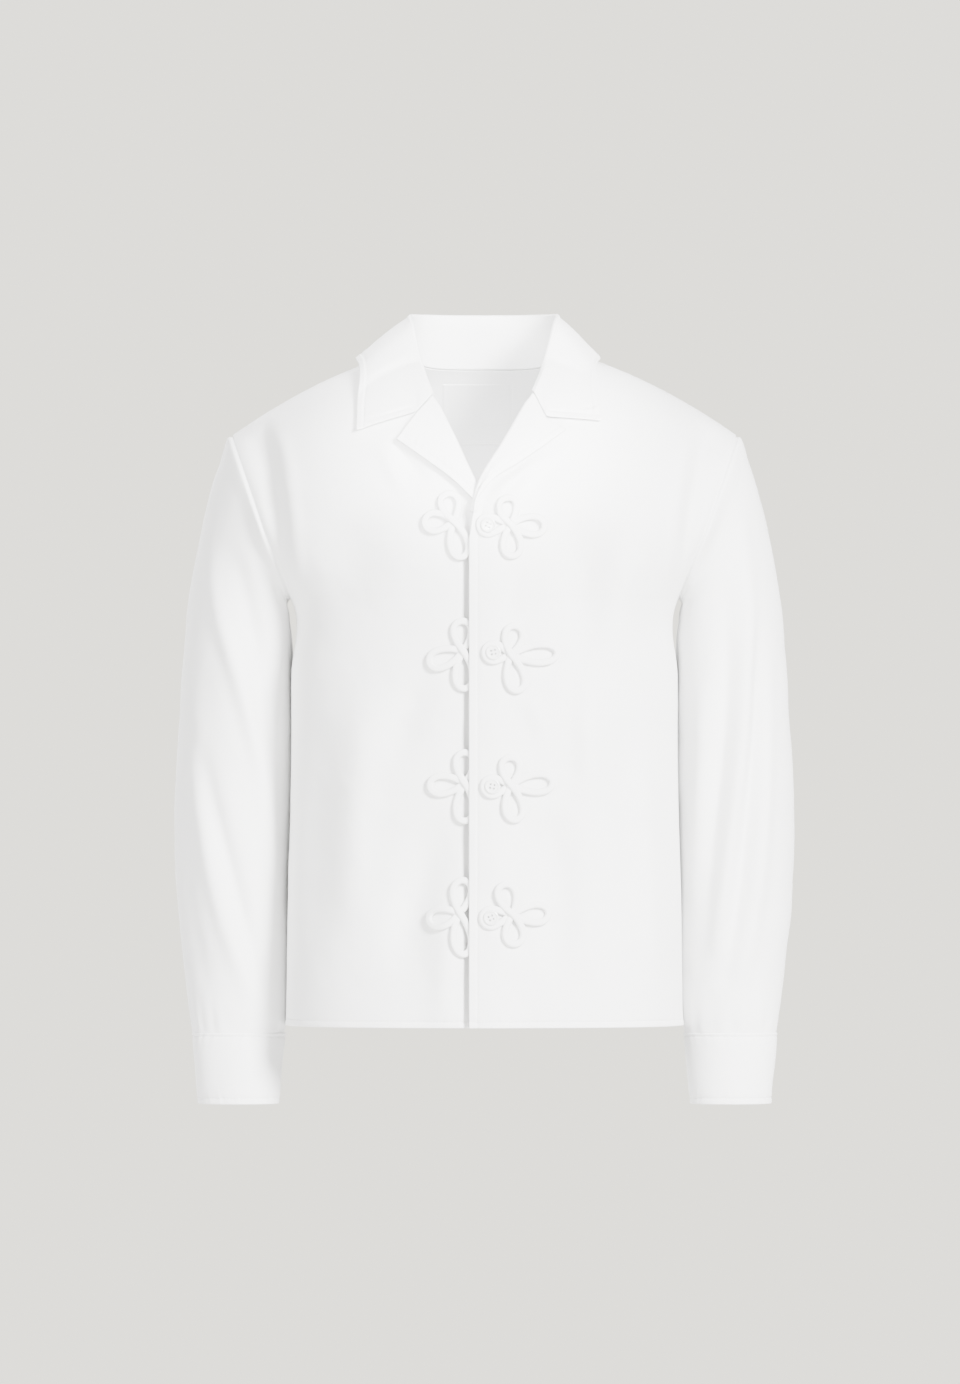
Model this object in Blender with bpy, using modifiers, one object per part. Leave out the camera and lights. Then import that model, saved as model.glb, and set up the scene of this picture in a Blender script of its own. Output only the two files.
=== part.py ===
"""A camp-collar shirt with corded frog closures, filled out as worn and hollow.

Metres, +Z up. The front faces -Y, and +X is the wearer's left, whose front lies on top. The origin is on the
middle line, level with the neck ends of the shoulder seams, where the wearer's shoulders carry the shirt.
Every piece of cloth is a grid of points on its middle surface, made a wall by Solidify.
"""

import math

import bmesh
import bpy
import numpy as np

NAME = "camp_collar_frog_shirt"

# Cloth
CLOTH = 0.0012  # wall of one piece, two plies at the seams
LABEL_CLOTH = 0.001
SEAM = 0.0008  # between the middle surfaces of two pieces at a seam
COLLAR_SEAM = 0.0017  # the same where two pieces meet at an angle
FRONT, BACK = -1, 1

# Body, seen from the front
HEM_Z = -0.6326
UNDERARM_Z = -0.225
NECK_X = 0.078  # neck end of the shoulder seam
NECK_Z = 0.0125
SHOULDER_SLOPE = 0.28
SHOULDER_CURVE = 1.3
SHOULDER_X = 0.241  # sleeve end of the shoulder seam
SHOULDER_Z = -0.069
BACK_NECK_Z = -0.004
YOKE_Z = -0.073  # yoke seam on the middle line, and how far it drops towards the armholes
YOKE_DROP = 0.045
BODY_ROUND = {FRONT: 2.5, BACK: 2.05}  # exponents of the body's rounded section: the back is rounder
RIDGE_ROUND = 1.7  # exponent of the roll over the shoulders
HALF_WIDTH = [
    (HEM_Z, 0.190), (-0.50, 0.188), (-0.40, 0.1853), (-0.30, 0.185), (UNDERARM_Z, 0.1855),
    (-0.212, 0.193), (-0.190, 0.2086), (-0.157, 0.230), (-0.120, 0.2435), (-0.090, 0.258), (0.02, 0.285),
]  # above the underarm this is wider than the body, so that the armholes are open loops
ARMHOLE = [(UNDERARM_Z, 0.1855), (-0.210, 0.190), (-0.157, 0.2105), (-0.125, 0.2215), (SHOULDER_Z, SHOULDER_X)]
FRONT_DEPTH = [(HEM_Z, 0.128), (-0.45, 0.126), (-0.30, 0.130), (-0.20, 0.134), (0.02, 0.130)]
BACK_DEPTH = [(HEM_Z, 0.118), (-0.45, 0.108), (-0.30, 0.112), (-0.15, 0.119), (0.02, 0.115)]
FRONT_ROLL = [(0.0, 0.175), (SHOULDER_X, 0.115)]  # height of the roll over the shoulder, across the body
BACK_ROLL = [(0.0, 0.130), (SHOULDER_X, 0.115)]

# Front edges: the wearer's left front stands off the right one where they lap
LAP = 0.014  # each front passes the middle line by this much
LAP_LIFT = 0.0062
LAP_DIP = 0.0015
LAP_IN, LAP_OUT = 0.004, 0.046  # the lift fades between these distances from the middle line

# Collar and lapels. The crest is the line on which they turn over.
FOLD = 0.002  # radius of the turn
CREST = 0.0035  # from a front's neck edge to the crest
LAPEL_LIFT = 0.0030
COLLAR_Z = 0.049
LEFT, RIGHT = 1, -1  # the wearer's, so LEFT is +X
GORGE = {LEFT: (0.0455, -0.0265), RIGHT: (-0.0490, -0.0290)}
NOTCH = {LEFT: (0.0592, -0.0512), RIGHT: (-0.0655, -0.0465)}
LAPEL_TIP = {LEFT: (0.0770, -0.0640), RIGHT: (-0.0830, -0.0730)}
BREAK = {LEFT: (-0.0135, -0.1420), RIGHT: (0.0100, -0.1480)}
CREST_LINE = {LEFT: [(0.0190, -0.0730), (-0.0060, -0.1150)], RIGHT: [(-0.0280, -0.0710), (-0.0080, -0.1140)]}
LAPEL_EDGE = {
    LEFT: [(0.0330, -0.0950), (0.0070, -0.1120), (-0.0050, -0.1270)],
    RIGHT: [(-0.0615, -0.0880), (-0.0270, -0.1140), (-0.0105, -0.1300)],
}
LEAF_TIP = {LEFT: (0.1105, -0.0548), RIGHT: (-0.1215, -0.0640)}
LEAF_SIDE = {LEFT: 0.108, RIGHT: 0.1205}

# Sleeves: outer and inner points of each ring, half its depth, and its middle in Y
SLEEVE_RINGS = [
    ((0.2540, -0.095), (0.1874, -0.240), 0.0650, 0.010),
    ((0.2665, -0.135), (0.1864, -0.262), 0.0690, 0.021),
    ((0.2765, -0.180), (0.1850, -0.288), 0.0710, 0.029),
    ((0.2845, -0.225), (0.1838, -0.320), 0.0715, 0.034),
    ((0.2900, -0.285), (0.1831, -0.360), 0.0710, 0.036),
    ((0.2935, -0.345), (0.1833, -0.405), 0.0700, 0.037),
    ((0.2970, -0.405), (0.1845, -0.450), 0.0690, 0.037),
    ((0.2980, -0.460), (0.1860, -0.492), 0.0660, 0.036),
    ((0.2950, -0.520), (0.1870, -0.535), 0.0600, 0.034),
    ((0.2895, -0.570), (0.1880, -0.577), 0.0520, 0.030),
    ((0.2850, -0.610), (0.1893, -0.613), 0.0430, 0.024),
    ((0.2803, -0.640), (0.1925, -0.641), 0.0345, 0.018),
]
CUFF_TOP = ((0.2800, -0.6420), (0.1925, -0.6420), 0.0338, 0.018)
CUFF_FOOT = ((0.2748, -0.7085), (0.1980, -0.7085), 0.0338, 0.010)

# Frogs: each knot, then the tips of its petals from the knot, and the button in the loop that lies over it
CORD = 0.0018  # radius
CORD_GAP = 0.0008
PETAL_WIDTH = 0.0150
LOOP_GAP = 0.0006  # between a button and the cord round it
KNOT = 0.0046
LEFT_FROGS = [
    ((0.0240, -0.1551), (-0.0053, 0.0294), (0.0024, -0.0330), (0.0360, -0.0013), (0.0034, -0.1555)),
    ((0.0240, -0.2784), (0.0053, 0.0307), (0.0082, -0.0374), (0.0475, 0.0019), (0.0084, -0.2761)),
    ((0.0240, -0.4022), (0.0000, 0.0298), (0.0053, -0.0365), (0.0437, 0.0029), (0.0074, -0.4035)),
    ((0.0261, -0.5251), (-0.0093, 0.0317), (0.0022, -0.0317), (0.0368, 0.0010), (0.0062, -0.5283)),
]
RIGHT_FROGS = [
    ((-0.0293, -0.1517), (-0.0067, 0.0288), (0.0086, -0.0374), (-0.0307, -0.0014)),
    ((-0.0203, -0.2746), (-0.0013, 0.0317), (0.0015, -0.0394), (-0.0349, -0.0125)),
    ((-0.0187, -0.4003), (0.0000, 0.0326), (0.0000, -0.0394), (-0.0365, -0.0029)),
    ((-0.0245, -0.5242), (0.0058, 0.0346), (0.0048, -0.0422), (-0.0298, -0.0086)),
]
BUTTON = 0.0068  # radius
BUTTON_THICK = 0.0022
BUTTON_HOLE = 0.0007
HOLE_AT = 0.0014

# Label, on the inside of the yoke
LABEL_GAP = 0.0016
LABEL_X = (-0.040, 0.027)
LABEL_Z = (-0.056, -0.017)

# Large folds: start, end, half-width and height of each soft ridge, or trough where the height is negative
BODY_FOLDS = [
    ((0.194, -0.060), (0.187, -0.190), 0.012, -0.0035),
    ((0.178, -0.070), (0.172, -0.200), 0.012, 0.0025),
    ((0.095, -0.420), (0.080, -0.590), 0.030, -0.0030),
    ((0.125, -0.330), (0.118, -0.560), 0.022, 0.0030),
]
SLEEVE_FOLDS = [
    ((0.268, -0.320), (0.222, -0.580), 0.011, 0.0040),
    ((0.281, -0.420), (0.256, -0.610), 0.010, 0.0035),
    ((0.277, -0.360), (0.244, -0.590), 0.010, -0.0040),
]

WHITE = (0.85, 0.85, 0.84, 1.0)


# ---- curves and surfaces ----


def profile(knots, at):
    """A smooth line through (place, value) pairs, read at the places asked for."""
    place = np.array([k[0] for k in knots], float)
    value = np.array([k[1] for k in knots], float)
    slope = np.gradient(value, place, axis=0)
    at = np.asarray(at, float)
    i = np.clip(np.searchsorted(place, at) - 1, 0, len(place) - 2)
    step = place[i + 1] - place[i]
    t = np.clip((at - place[i]) / step, 0, 1)
    if value.ndim > 1:
        t, step = t[..., None], step[..., None]
    rise = value[i + 1] - value[i]
    bend = slope[i] * step * (1 - t) - slope[i + 1] * step * t + rise * (2 * t - 1)
    return value[i] + rise * t + t * (1 - t) * bend


def through(points, t):
    """The points at t, 0 to 1, on a smooth curve through these points, by their distances apart."""
    points = np.array(points, float)
    gaps = np.linalg.norm(np.diff(points, axis=0), axis=1)
    along = np.concatenate([[0], np.cumsum(gaps)]) / gaps.sum()
    return profile(list(zip(along, points)), t)


def ease(low, high, at):
    t = np.clip((at - low) / (high - low), 0, 1)
    return t * t * (3 - 2 * t)


def unit(v):
    return v / np.linalg.norm(v, axis=-1, keepdims=True)


def ridge(x):
    """Height of the shoulder line above the body at x."""
    d = np.abs(x) - NECK_X
    return NECK_Z - SHOULDER_SLOPE * d - SHOULDER_CURVE * d * np.abs(d)


def folds(strokes, x, z):
    """How far the large folds move the cloth out at (x, z), the same on both sides of the body."""
    x = np.abs(x)
    out = np.zeros(np.broadcast(x, z).shape)
    for (x0, z0), (x1, z1), half, height in strokes:
        length = math.hypot(x1 - x0, z1 - z0)
        ux, uz = (x1 - x0) / length, (z1 - z0) / length
        along = ((x - x0) * ux + (z - z0) * uz) / length
        across = (x - x0) * uz - (z - z0) * ux
        fade = ease(-0.25, 0.25, along) * (1 - ease(0.75, 1.25, along))
        out = out + height * fade * np.exp(-((across / half) ** 2))
    return out


def body_y(x, z, side, lift=0.0):
    """Y of the body's front or back at (x, z), moved out by lift."""
    x, z = np.asarray(x, float), np.asarray(z, float)
    depth = profile(FRONT_DEPTH if side == FRONT else BACK_DEPTH, z)
    roll = profile(FRONT_ROLL if side == FRONT else BACK_ROLL, np.abs(x))
    across = np.clip(np.abs(x) / (profile(HALF_WIDTH, z) + lift), 0, 1)
    round_side = (1 - across ** BODY_ROUND[side]) ** (1 / BODY_ROUND[side])
    above = np.clip(1 - (ridge(x) + lift - z) / (roll + lift), 0, 1)
    round_top = (1 - above**RIDGE_ROUND) ** (1 / RIDGE_ROUND)
    fold = folds(BODY_FOLDS, x, z) * ease(0.0, 0.3, round_side * round_top)
    return side * ((depth + lift) * round_side * round_top + fold)


def lap(x, z, hand):
    """How far a front stands off the body where the fronts lap: the left one over the right one."""
    low = 1 - ease(-0.10, -0.035, z)
    if hand == LEFT:
        return LAP_LIFT * low * (1 - ease(LAP_IN, LAP_OUT, np.abs(x)) * (x > 0))
    return -LAP_DIP * low * (1 - ease(LAP_IN, LAP_OUT, np.abs(x)) * (x < 0))


def front_point(x, z, hand, lift=0.0):
    """A point on a front, moved out by lift from its middle surface."""
    x, z = np.asarray(x, float), np.asarray(z, float)
    y = body_y(x, z, FRONT, lift) - lap(x, z, hand)
    return np.stack([x, np.minimum(y, -SEAM / 2), z], axis=-1)


def back_point(x, z, lift=0.0):
    x, z = np.asarray(x, float), np.asarray(z, float)
    return np.stack([x, np.maximum(body_y(x, z, BACK, lift), SEAM / 2), z], axis=-1)


def crest(hand, t):
    """The line in (x, z) on which a lapel turns over, from the gorge to the break."""
    return through([GORGE[hand], *CREST_LINE[hand], BREAK[hand]], t)


def towards_neck(line):
    """Unit vectors across a crest line in (x, z), pointing into the neck opening."""
    run = unit(np.gradient(line, axis=0))
    across = np.stack([-run[:, 1], run[:, 0]], axis=1)
    return across * np.where(across[:, 1:] < 0, -1, 1)


def neckline(hand, t):
    """A front's neck edge in (x, z), from the gorge up to the shoulder seam."""
    low = gorge_edge(hand)
    middle = (hand * 0.0655, -0.0135)
    return through([low, middle, (hand * 0.0750, 0.0030), (hand * NECK_X, NECK_Z)], t)


def gorge_edge(hand):
    line = crest(hand, np.linspace(0, 1, 13))
    return line[0] - CREST * towards_neck(line)[0]


def back_neck_z(x):
    return BACK_NECK_Z + (NECK_Z - BACK_NECK_Z) * (np.abs(x) / NECK_X) ** 6


def yoke_seam_z(x):
    return YOKE_Z - YOKE_DROP * (np.abs(x) / SHOULDER_X) ** 2


# ---- making objects ----


def clear_scene():
    for o in list(bpy.data.objects):
        bpy.data.objects.remove(o, do_unlink=True)


def collection(name):
    c = bpy.data.collections.new(name)
    bpy.context.scene.collection.children.link(c)
    return c


def material(name, colour, roughness):
    m = bpy.data.materials.new(name)
    m.use_nodes = True
    shader = m.node_tree.nodes["Principled BSDF"]
    shader.inputs["Base Color"].default_value = colour
    shader.inputs["Roughness"].default_value = roughness
    shader.inputs["Metallic"].default_value = 0.0
    return m


def add(name, mesh, finish, group):
    mesh.materials.clear()
    mesh.materials.append(finish)
    o = bpy.data.objects.new(name, mesh)
    group.objects.link(o)
    return o


def cloth(name, grid, finish, group, closed=False, wall=CLOTH):
    """A piece of cloth on a grid of points, made a wall. A closed grid's last column meets its first."""
    grid = np.asarray(grid, float)
    rows, columns = grid.shape[:2]
    bm = bmesh.new()
    v = [[bm.verts.new(p) for p in row] for row in grid]
    for i in range(rows - 1):
        for j in range(columns if closed else columns - 1):
            k = (j + 1) % columns
            bm.faces.new((v[i][j], v[i][k], v[i + 1][k], v[i + 1][j]))
    mesh = bpy.data.meshes.new(name)
    bm.to_mesh(mesh)
    bm.free()
    mesh.shade_smooth()
    o = add(name, mesh, finish, group)
    thick = o.modifiers.new("wall", "SOLIDIFY")
    thick.thickness = wall
    thick.offset = 0
    return o


# ---- body ----


def rows_up(edge_in, edge_out, top, steps):
    """Rows of (x, z) between an inner and an outer edge, whose upper rows take the shape of the top."""
    columns = np.sin(np.linspace(0, math.pi / 2, steps))
    rows = []
    for i, (a, b) in enumerate(zip(edge_in, edge_out)):
        x = a[0] + (b[0] - a[0]) * columns
        z = a[1] + (b[1] - a[1]) * columns
        share = (i / (len(edge_in) - 1)) ** 2
        chord = edge_in[-1][1] + (edge_out[-1][1] - edge_in[-1][1]) * columns
        top_x = edge_in[-1][0] + (edge_out[-1][0] - edge_in[-1][0]) * columns
        rows.append(np.stack([x, z + share * (top(top_x) - chord)], axis=1))
    return rows


def front_edge(hand, count):
    """A front's edge from underarm level up: the lap's edge, the crest, and the neck."""
    t = np.linspace(0, 1, 25)
    line = crest(hand, t)
    line = (line - CREST * towards_neck(line))[::-1]
    lap_x = -hand * LAP
    foot = np.array([[lap_x, UNDERARM_Z], [lap_x, (UNDERARM_Z + line[0, 1]) / 2]])
    crest_rows = count // 2
    neck_rows = count - crest_rows - 2
    crest_part = line[np.linspace(0, len(line) - 1, crest_rows).round().astype(int)]
    neck_part = neckline(hand, np.linspace(0, 1, neck_rows + 1))[1:]
    return np.concatenate([foot, crest_part, neck_part])


def armhole_edge(hand, count):
    z = UNDERARM_Z + (SHOULDER_Z - UNDERARM_Z) * np.sin(np.linspace(0, math.pi / 2, count))
    return np.stack([hand * profile(ARMHOLE, z), z], axis=1)


def make_front(name, hand, finish, group, columns=13, low_rows=9, high_rows=14):
    low = []
    spread = np.sin(np.linspace(0, math.pi / 2, columns))
    for z in np.linspace(HEM_Z, UNDERARM_Z, low_rows)[:-1]:
        x = -hand * LAP + (hand * (profile(HALF_WIDTH, z) + LAP)) * spread
        low.append(np.stack([x, np.full(columns, z)], axis=1))
    edge_in, edge_out = front_edge(hand, high_rows), armhole_edge(hand, high_rows)
    rows = np.array(low + rows_up(edge_in, edge_out, ridge, columns))
    return cloth(name, front_point(rows[..., 0], rows[..., 1], hand), finish, group)


def make_back(finish, group, columns=10, low_rows=8, high_rows=7):
    side = np.sin(np.linspace(-math.pi / 2, math.pi / 2, 2 * columns + 1))
    rows = []
    for z in np.linspace(HEM_Z, UNDERARM_Z, low_rows)[:-1]:
        rows.append(np.stack([profile(HALF_WIDTH, z) * side, np.full(len(side), z)], axis=1))
    top_x = armhole_at_yoke()
    for t in np.linspace(0, 1, high_rows):
        end_z = UNDERARM_Z + (yoke_seam_z(top_x) - SEAM / 2 - UNDERARM_Z) * t
        x = profile(ARMHOLE, end_z) * side
        z = end_z + t * (yoke_seam_z(x) - yoke_seam_z(top_x))
        rows.append(np.stack([x, z], axis=1))
    rows = np.array(rows)
    return cloth("back", back_point(rows[..., 0], rows[..., 1]), finish, group)


def armhole_at_yoke():
    """X where the yoke seam meets the armhole."""
    x = SHOULDER_X
    for _ in range(20):
        x = float(profile(ARMHOLE, yoke_seam_z(x)))
    return x


def make_yoke(finish, group, high_rows=8):
    """The yoke, from its seam up to the shoulder seams and the back neck."""
    neck = NECK_X * np.sin(np.linspace(0, math.pi / 2, 7))
    end = armhole_at_yoke()
    rows = []
    for t in np.sin(np.linspace(0, math.pi / 2, high_rows)):
        end_z = yoke_seam_z(end) + SEAM / 2 + (SHOULDER_Z - yoke_seam_z(end) - SEAM / 2) * t
        out = profile(ARMHOLE, end_z)
        shoulder = NECK_X + (out - NECK_X) * np.sin(np.linspace(0, math.pi / 2, 8))[1:]
        half = np.concatenate([neck, shoulder])
        top = np.where(half < NECK_X - 1e-6, back_neck_z(half), ridge(half))
        low = yoke_seam_z(half) + SEAM / 2
        z = low + (top - low) * t
        x = np.concatenate([-half[:0:-1], half])
        rows.append(np.stack([x, np.concatenate([z[:0:-1], z])], axis=1))
    rows = np.array(rows)
    return cloth("back_yoke", back_point(rows[..., 0], rows[..., 1]), finish, group)


# ---- sleeves ----


def ring(outer, inner, half_depth, middle_y, hand, angle):
    """A sleeve section: outer side at angle 0, front at a quarter turn."""
    outer, inner = np.array(outer), np.array(inner)
    centre, reach = (outer + inner) / 2, (outer - inner) / 2
    xz = centre + reach * np.cos(angle)[:, None]
    out = half_depth + folds(SLEEVE_FOLDS, xz[:, 0], xz[:, 1])
    return np.stack([hand * xz[:, 0], middle_y - out * np.sin(angle), xz[:, 1]], axis=1)


def armhole_ring(hand, angle):
    """The armhole's loop on the body, moved out by the seam, and by more at the underarm."""
    share = (1 + np.cos(angle)) / 2
    z = UNDERARM_Z + (SHOULDER_Z - UNDERARM_Z) * share
    x = profile(ARMHOLE, z)
    front = np.sin(angle) > 0
    y = np.where(front, body_y(x, z, FRONT), body_y(x, z, BACK))
    gap = SEAM * 1.2 + 0.0018 * (1 - share) ** 2
    return np.stack([hand * (x + gap * 0.95), y, z - gap * 0.32], axis=1)


def make_sleeve(hand, finish, group, around=24):
    angle = np.linspace(0, 2 * math.pi, around, endpoint=False)
    rings = [armhole_ring(hand, angle)]
    rings += [ring(*r, hand, angle) for r in SLEEVE_RINGS]
    side = "left" if hand == LEFT else "right"
    return cloth(f"sleeve_{side}", rings, finish, group, closed=True)


def make_cuff(hand, finish, group, around=24):
    angle = np.linspace(0, 2 * math.pi, around, endpoint=False)
    rings = [ring(*r, hand, angle) for r in (CUFF_TOP, CUFF_FOOT)]
    side = "left" if hand == LEFT else "right"
    return cloth(f"cuff_{side}", rings, finish, group, closed=True)


# ---- collar and lapels ----


def make_lapel(hand, finish, group, rows=9):
    """A front's facing where it turns out, from the crest to the lapel's edge."""
    line = crest(hand, np.linspace(0, 1, 3 * rows - 2))
    into = towards_neck(line)[::3]
    line = line[::3]
    edge = through([LAPEL_TIP[hand], *LAPEL_EDGE[hand], BREAK[hand]], np.linspace(0, 1, rows) ** 1.15)
    notch = np.array(NOTCH[hand]) + (0, -SEAM)
    grid = []
    for i in range(rows):
        root = line[i] + (0, -SEAM if i == 0 else 0)
        start = root - into[i] * (CREST - SEAM)
        turn = root - into[i] * FOLD
        at = [(start, 0.0)]
        for a in (-90, -30, 30, 90):
            a = math.radians(a)
            at.append((turn + into[i] * FOLD * math.cos(a), FOLD + FOLD * math.sin(a)))
        end = edge[i] if i < rows - 1 else turn + unit(edge[i - 1] - line[i - 1]) * FOLD * 1.6
        corner = turn + (end - turn) * 0.5
        if i == 0:
            corner = notch
        for t in (0.33, 0.66, 1.0):
            at.append((turn + (corner - turn) * t, LAPEL_LIFT + (2 * FOLD - LAPEL_LIFT) * (1 - t)))
        for t in (0.33, 0.66, 1.0):
            at.append((corner + (end - corner) * t, LAPEL_LIFT))
        xz = np.array([p for p, _ in at])
        lift = np.array([h for _, h in at])
        flat = front_point(xz[:, 0], xz[:, 1], hand)
        flat[:, 1] -= lift
        grid.append(flat)
    side = "left" if hand == LEFT else "right"
    return cloth(f"lapel_{side}", grid, finish, group)


def across_back(knots):
    """A half line's knots with one more beyond the middle of the back, so that the two halves run smoothly on."""
    s, (x, y, z) = knots[1]
    return [(-s, (-x, y, z)), *knots]


def collar_lines(hand, s):
    """Neck seam, crest and outer edge of half the collar, from the back at 0 to the gorge at 1."""
    back_part = 0.45
    x = hand * NECK_X * np.sin(np.clip(s / back_part, 0, 1) * math.pi / 2)
    behind = back_point(x, back_neck_z(x))
    t = 1 - np.clip((s - back_part) / (1 - back_part), 0, 1)
    xz = neckline(hand, t)
    before = front_point(xz[:, 0], xz[:, 1], hand)
    seam = np.where((s < back_part)[:, None], behind, before)
    end = front_point(*GORGE[hand], hand) - (0, FOLD, 0)
    wide = abs(GORGE[hand][0]) / 0.0455
    turn = [
        (0.00, (0.000, 0.062, COLLAR_Z)), (0.20, (0.036, 0.057, COLLAR_Z)), (0.38, (0.062, 0.036, COLLAR_Z)),
        (0.50, (0.0700, 0.012, 0.048)), (0.62, (0.0665, -0.014, 0.039)), (0.75, (0.0600, -0.038, 0.015)),
        (0.87, (0.0535, -0.060, -0.007)), (1.00, (end[0] * hand / wide, end[1], end[2])),
    ]
    turn = profile(across_back(turn), s)
    turn[:, 0] *= hand * (1 + (wide - 1) * ease(0.3, 1.0, s))
    tip_x, tip_z = LEAF_TIP[hand]
    out = LEAF_SIDE[hand]
    edge = [
        (0.00, (0.000, 0.086, -0.016)), (0.20, (0.045, 0.080, -0.014)), (0.38, (out - 0.022, 0.052, -0.006)),
        (0.50, (out + 0.001, 0.008, 0.0065)), (0.62, (out - 0.001, -0.028, 0.0000)),
        (0.75, (out - 0.002, -0.052, -0.013)), (0.87, (out, -0.073, -0.034)),
        (1.00, (abs(tip_x), -0.090, tip_z)),
    ]
    return seam, turn, profile(across_back(edge), s) * (hand, 1, 1)


def keep_outside(p, hand, s, lift):
    """Moves points of the collar out to the body's surface plus lift where they are nearer than that."""
    side = BACK if s < 0.5 else FRONT
    near = body_y(p[:, 0], p[:, 2], side, lift)
    if side == FRONT:
        near = near - lap(p[:, 0], p[:, 2], hand)
        p[:, 1] = np.minimum(p[:, 1], near)
    else:
        p[:, 1] = np.maximum(p[:, 1], near)
    return p


def collar_section(hand, s, seam, turn, edge):
    """Points across the collar: up the stand, over the crest, and down the fall."""
    end_crest = towards_neck(crest(hand, np.linspace(0, 1, 13)))[0]
    blend = ease(0.35, 1.0, s)
    up = unit(np.array([0, 0, 1.0]) * (1 - blend) + np.array([end_crest[0], 0, end_crest[1]]) * blend)
    away = profile([
        (0.00, (0, 1, 0)), (0.25, (hand * 0.45, 0.85, 0)), (0.50, (hand, 0.1, 0.2)),
        (0.75, (hand * 0.75, -0.7, 0)), (1.00, (0, -1, 0)),
    ], s)
    away = unit(away - up * np.dot(away, up))
    pivot = turn - FOLD * up
    points = [seam + (pivot - FOLD * away - seam) * t for t in (0.0, 0.5)]
    points[0] = points[0] + unit(pivot - FOLD * away - seam) * COLLAR_SEAM
    for a in (-90, -30, 30, 90):
        a = math.radians(a)
        points.append(pivot + FOLD * (math.cos(a) * up + math.sin(a) * away))
    start = pivot + FOLD * away
    notch = np.array([NOTCH[hand][0], turn[1], NOTCH[hand][1]])
    bent = ease(0.75, 1.0, s)
    fall = []
    for t in np.linspace(0, 1, 7)[1:]:
        straight = start + (edge - start) * t + away * 0.004 * 4 * t * (1 - t) * (1 - bent)
        corner = start + (notch - start) * min(t / 0.34, 1) + (edge - notch) * max((t - 0.34) / 0.66, 0)
        fall.append(straight * (1 - bent) + corner * bent)
    fall = keep_outside(np.array(fall), hand, s, LAPEL_LIFT)
    return np.concatenate([np.array(points), fall])


def make_collar(finish, group, stations=15):
    s = np.linspace(0, 1, stations)
    halves = {}
    for hand in (LEFT, RIGHT):
        seam, turn, edge = collar_lines(hand, s)
        halves[hand] = [collar_section(hand, s[i], seam[i], turn[i], edge[i]) for i in range(stations)]
    grid = halves[RIGHT][::-1] + halves[LEFT][1:]
    return cloth("collar", grid, finish, group)


# ---- label, frogs and buttons ----


def make_label(finish, group):
    x, z = np.meshgrid(np.linspace(*LABEL_X, 7), np.linspace(*LABEL_Z, 4))
    inside = back_point(x, z)
    inside[..., 1] -= CLOTH / 2 + LABEL_CLOTH / 2 + LABEL_GAP
    return cloth("neck_label", inside, finish, group, wall=LABEL_CLOTH)


def petal_line(knot, tip, steps=10):
    """A teardrop loop in (x, z): out from the knot, round the tip and back."""
    knot, tip = np.array(knot), np.array(tip)
    length = np.linalg.norm(tip)
    run = tip / length
    side = np.array([-run[1], run[0]])
    u = np.linspace(0.06, 0.94, steps)
    out = (1 - np.cos(2 * math.pi * u)) / 2
    along = (length - CORD) * out
    across = PETAL_WIDTH / 2 * np.sin(2 * math.pi * u) * np.sqrt(out) * 1.3
    return knot + along[:, None] * run + across[:, None] * side


def loop_line(knot, centre, steps=9):
    """A loop in (x, z) that runs from the knot round a button and back, straight on both sides."""
    knot, centre = np.array(knot), np.array(centre)
    radius = BUTTON + LOOP_GAP + CORD
    reach = centre - knot
    far = np.linalg.norm(reach)
    bearing = math.atan2(reach[1], reach[0])
    leave = math.acos(-radius / far)
    angle = bearing + np.linspace(leave, -leave, steps)
    arc = centre + radius * np.stack([np.cos(angle), np.sin(angle)], axis=1)
    start = knot + (arc[0] - knot) * 0.10
    end = knot + (arc[-1] - knot) * 0.10
    return np.concatenate([[start], arc, [end]])


def cord_mesh(points, name):
    """A cord through the points, as a closed mesh."""
    curve = bpy.data.curves.new(name, "CURVE")
    curve.dimensions = "3D"
    curve.bevel_depth = CORD
    curve.bevel_resolution = 1
    curve.use_fill_caps = True
    spline = curve.splines.new("POLY")
    spline.points.add(len(points) - 1)
    for point, p in zip(spline.points, points):
        point.co = (*p, 1)
    guide = bpy.data.objects.new(name, curve)
    bpy.context.scene.collection.objects.link(guide)
    shape = guide.evaluated_get(bpy.context.evaluated_depsgraph_get())
    mesh = bpy.data.meshes.new_from_object(shape)
    bpy.data.objects.remove(guide, do_unlink=True)
    bpy.data.curves.remove(curve)
    bm = bmesh.new()
    bm.from_mesh(mesh)
    bmesh.ops.remove_doubles(bm, verts=bm.verts, dist=1e-6)
    bm.to_mesh(mesh)
    bm.free()
    return mesh


def make_frog(name, hand, knot, loops, finish, group, cutters):
    """One side of a closure: loops of cord around a knot."""
    lift = CLOTH / 2 + CORD_GAP + CORD
    bm = bmesh.new()
    bmesh.ops.create_uvsphere(bm, u_segments=8, v_segments=5, radius=KNOT)
    centre = front_point(*knot, hand)
    for v in bm.verts:
        v.co.y = v.co.y * 0.5 + centre[1] - lift
        v.co.x += centre[0]
        v.co.z += centre[2]
    mesh = bpy.data.meshes.new(name)
    bm.to_mesh(mesh)
    bm.free()
    frog = add(name, mesh, finish, group)
    for i, xz in enumerate(loops):
        points = front_point(xz[:, 0], xz[:, 1], hand)
        points[:, 1] -= lift
        petal = add(f"{name}_petal_{i}", cord_mesh(points, name), finish, cutters)
        petal.hide_render = True
        petal.display_type = "WIRE"
        join = frog.modifiers.new(f"petal_{i}", "BOOLEAN")
        join.operation = "UNION"
        join.solver = "EXACT"
        join.use_self = True
        join.object = petal
    return frog


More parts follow.
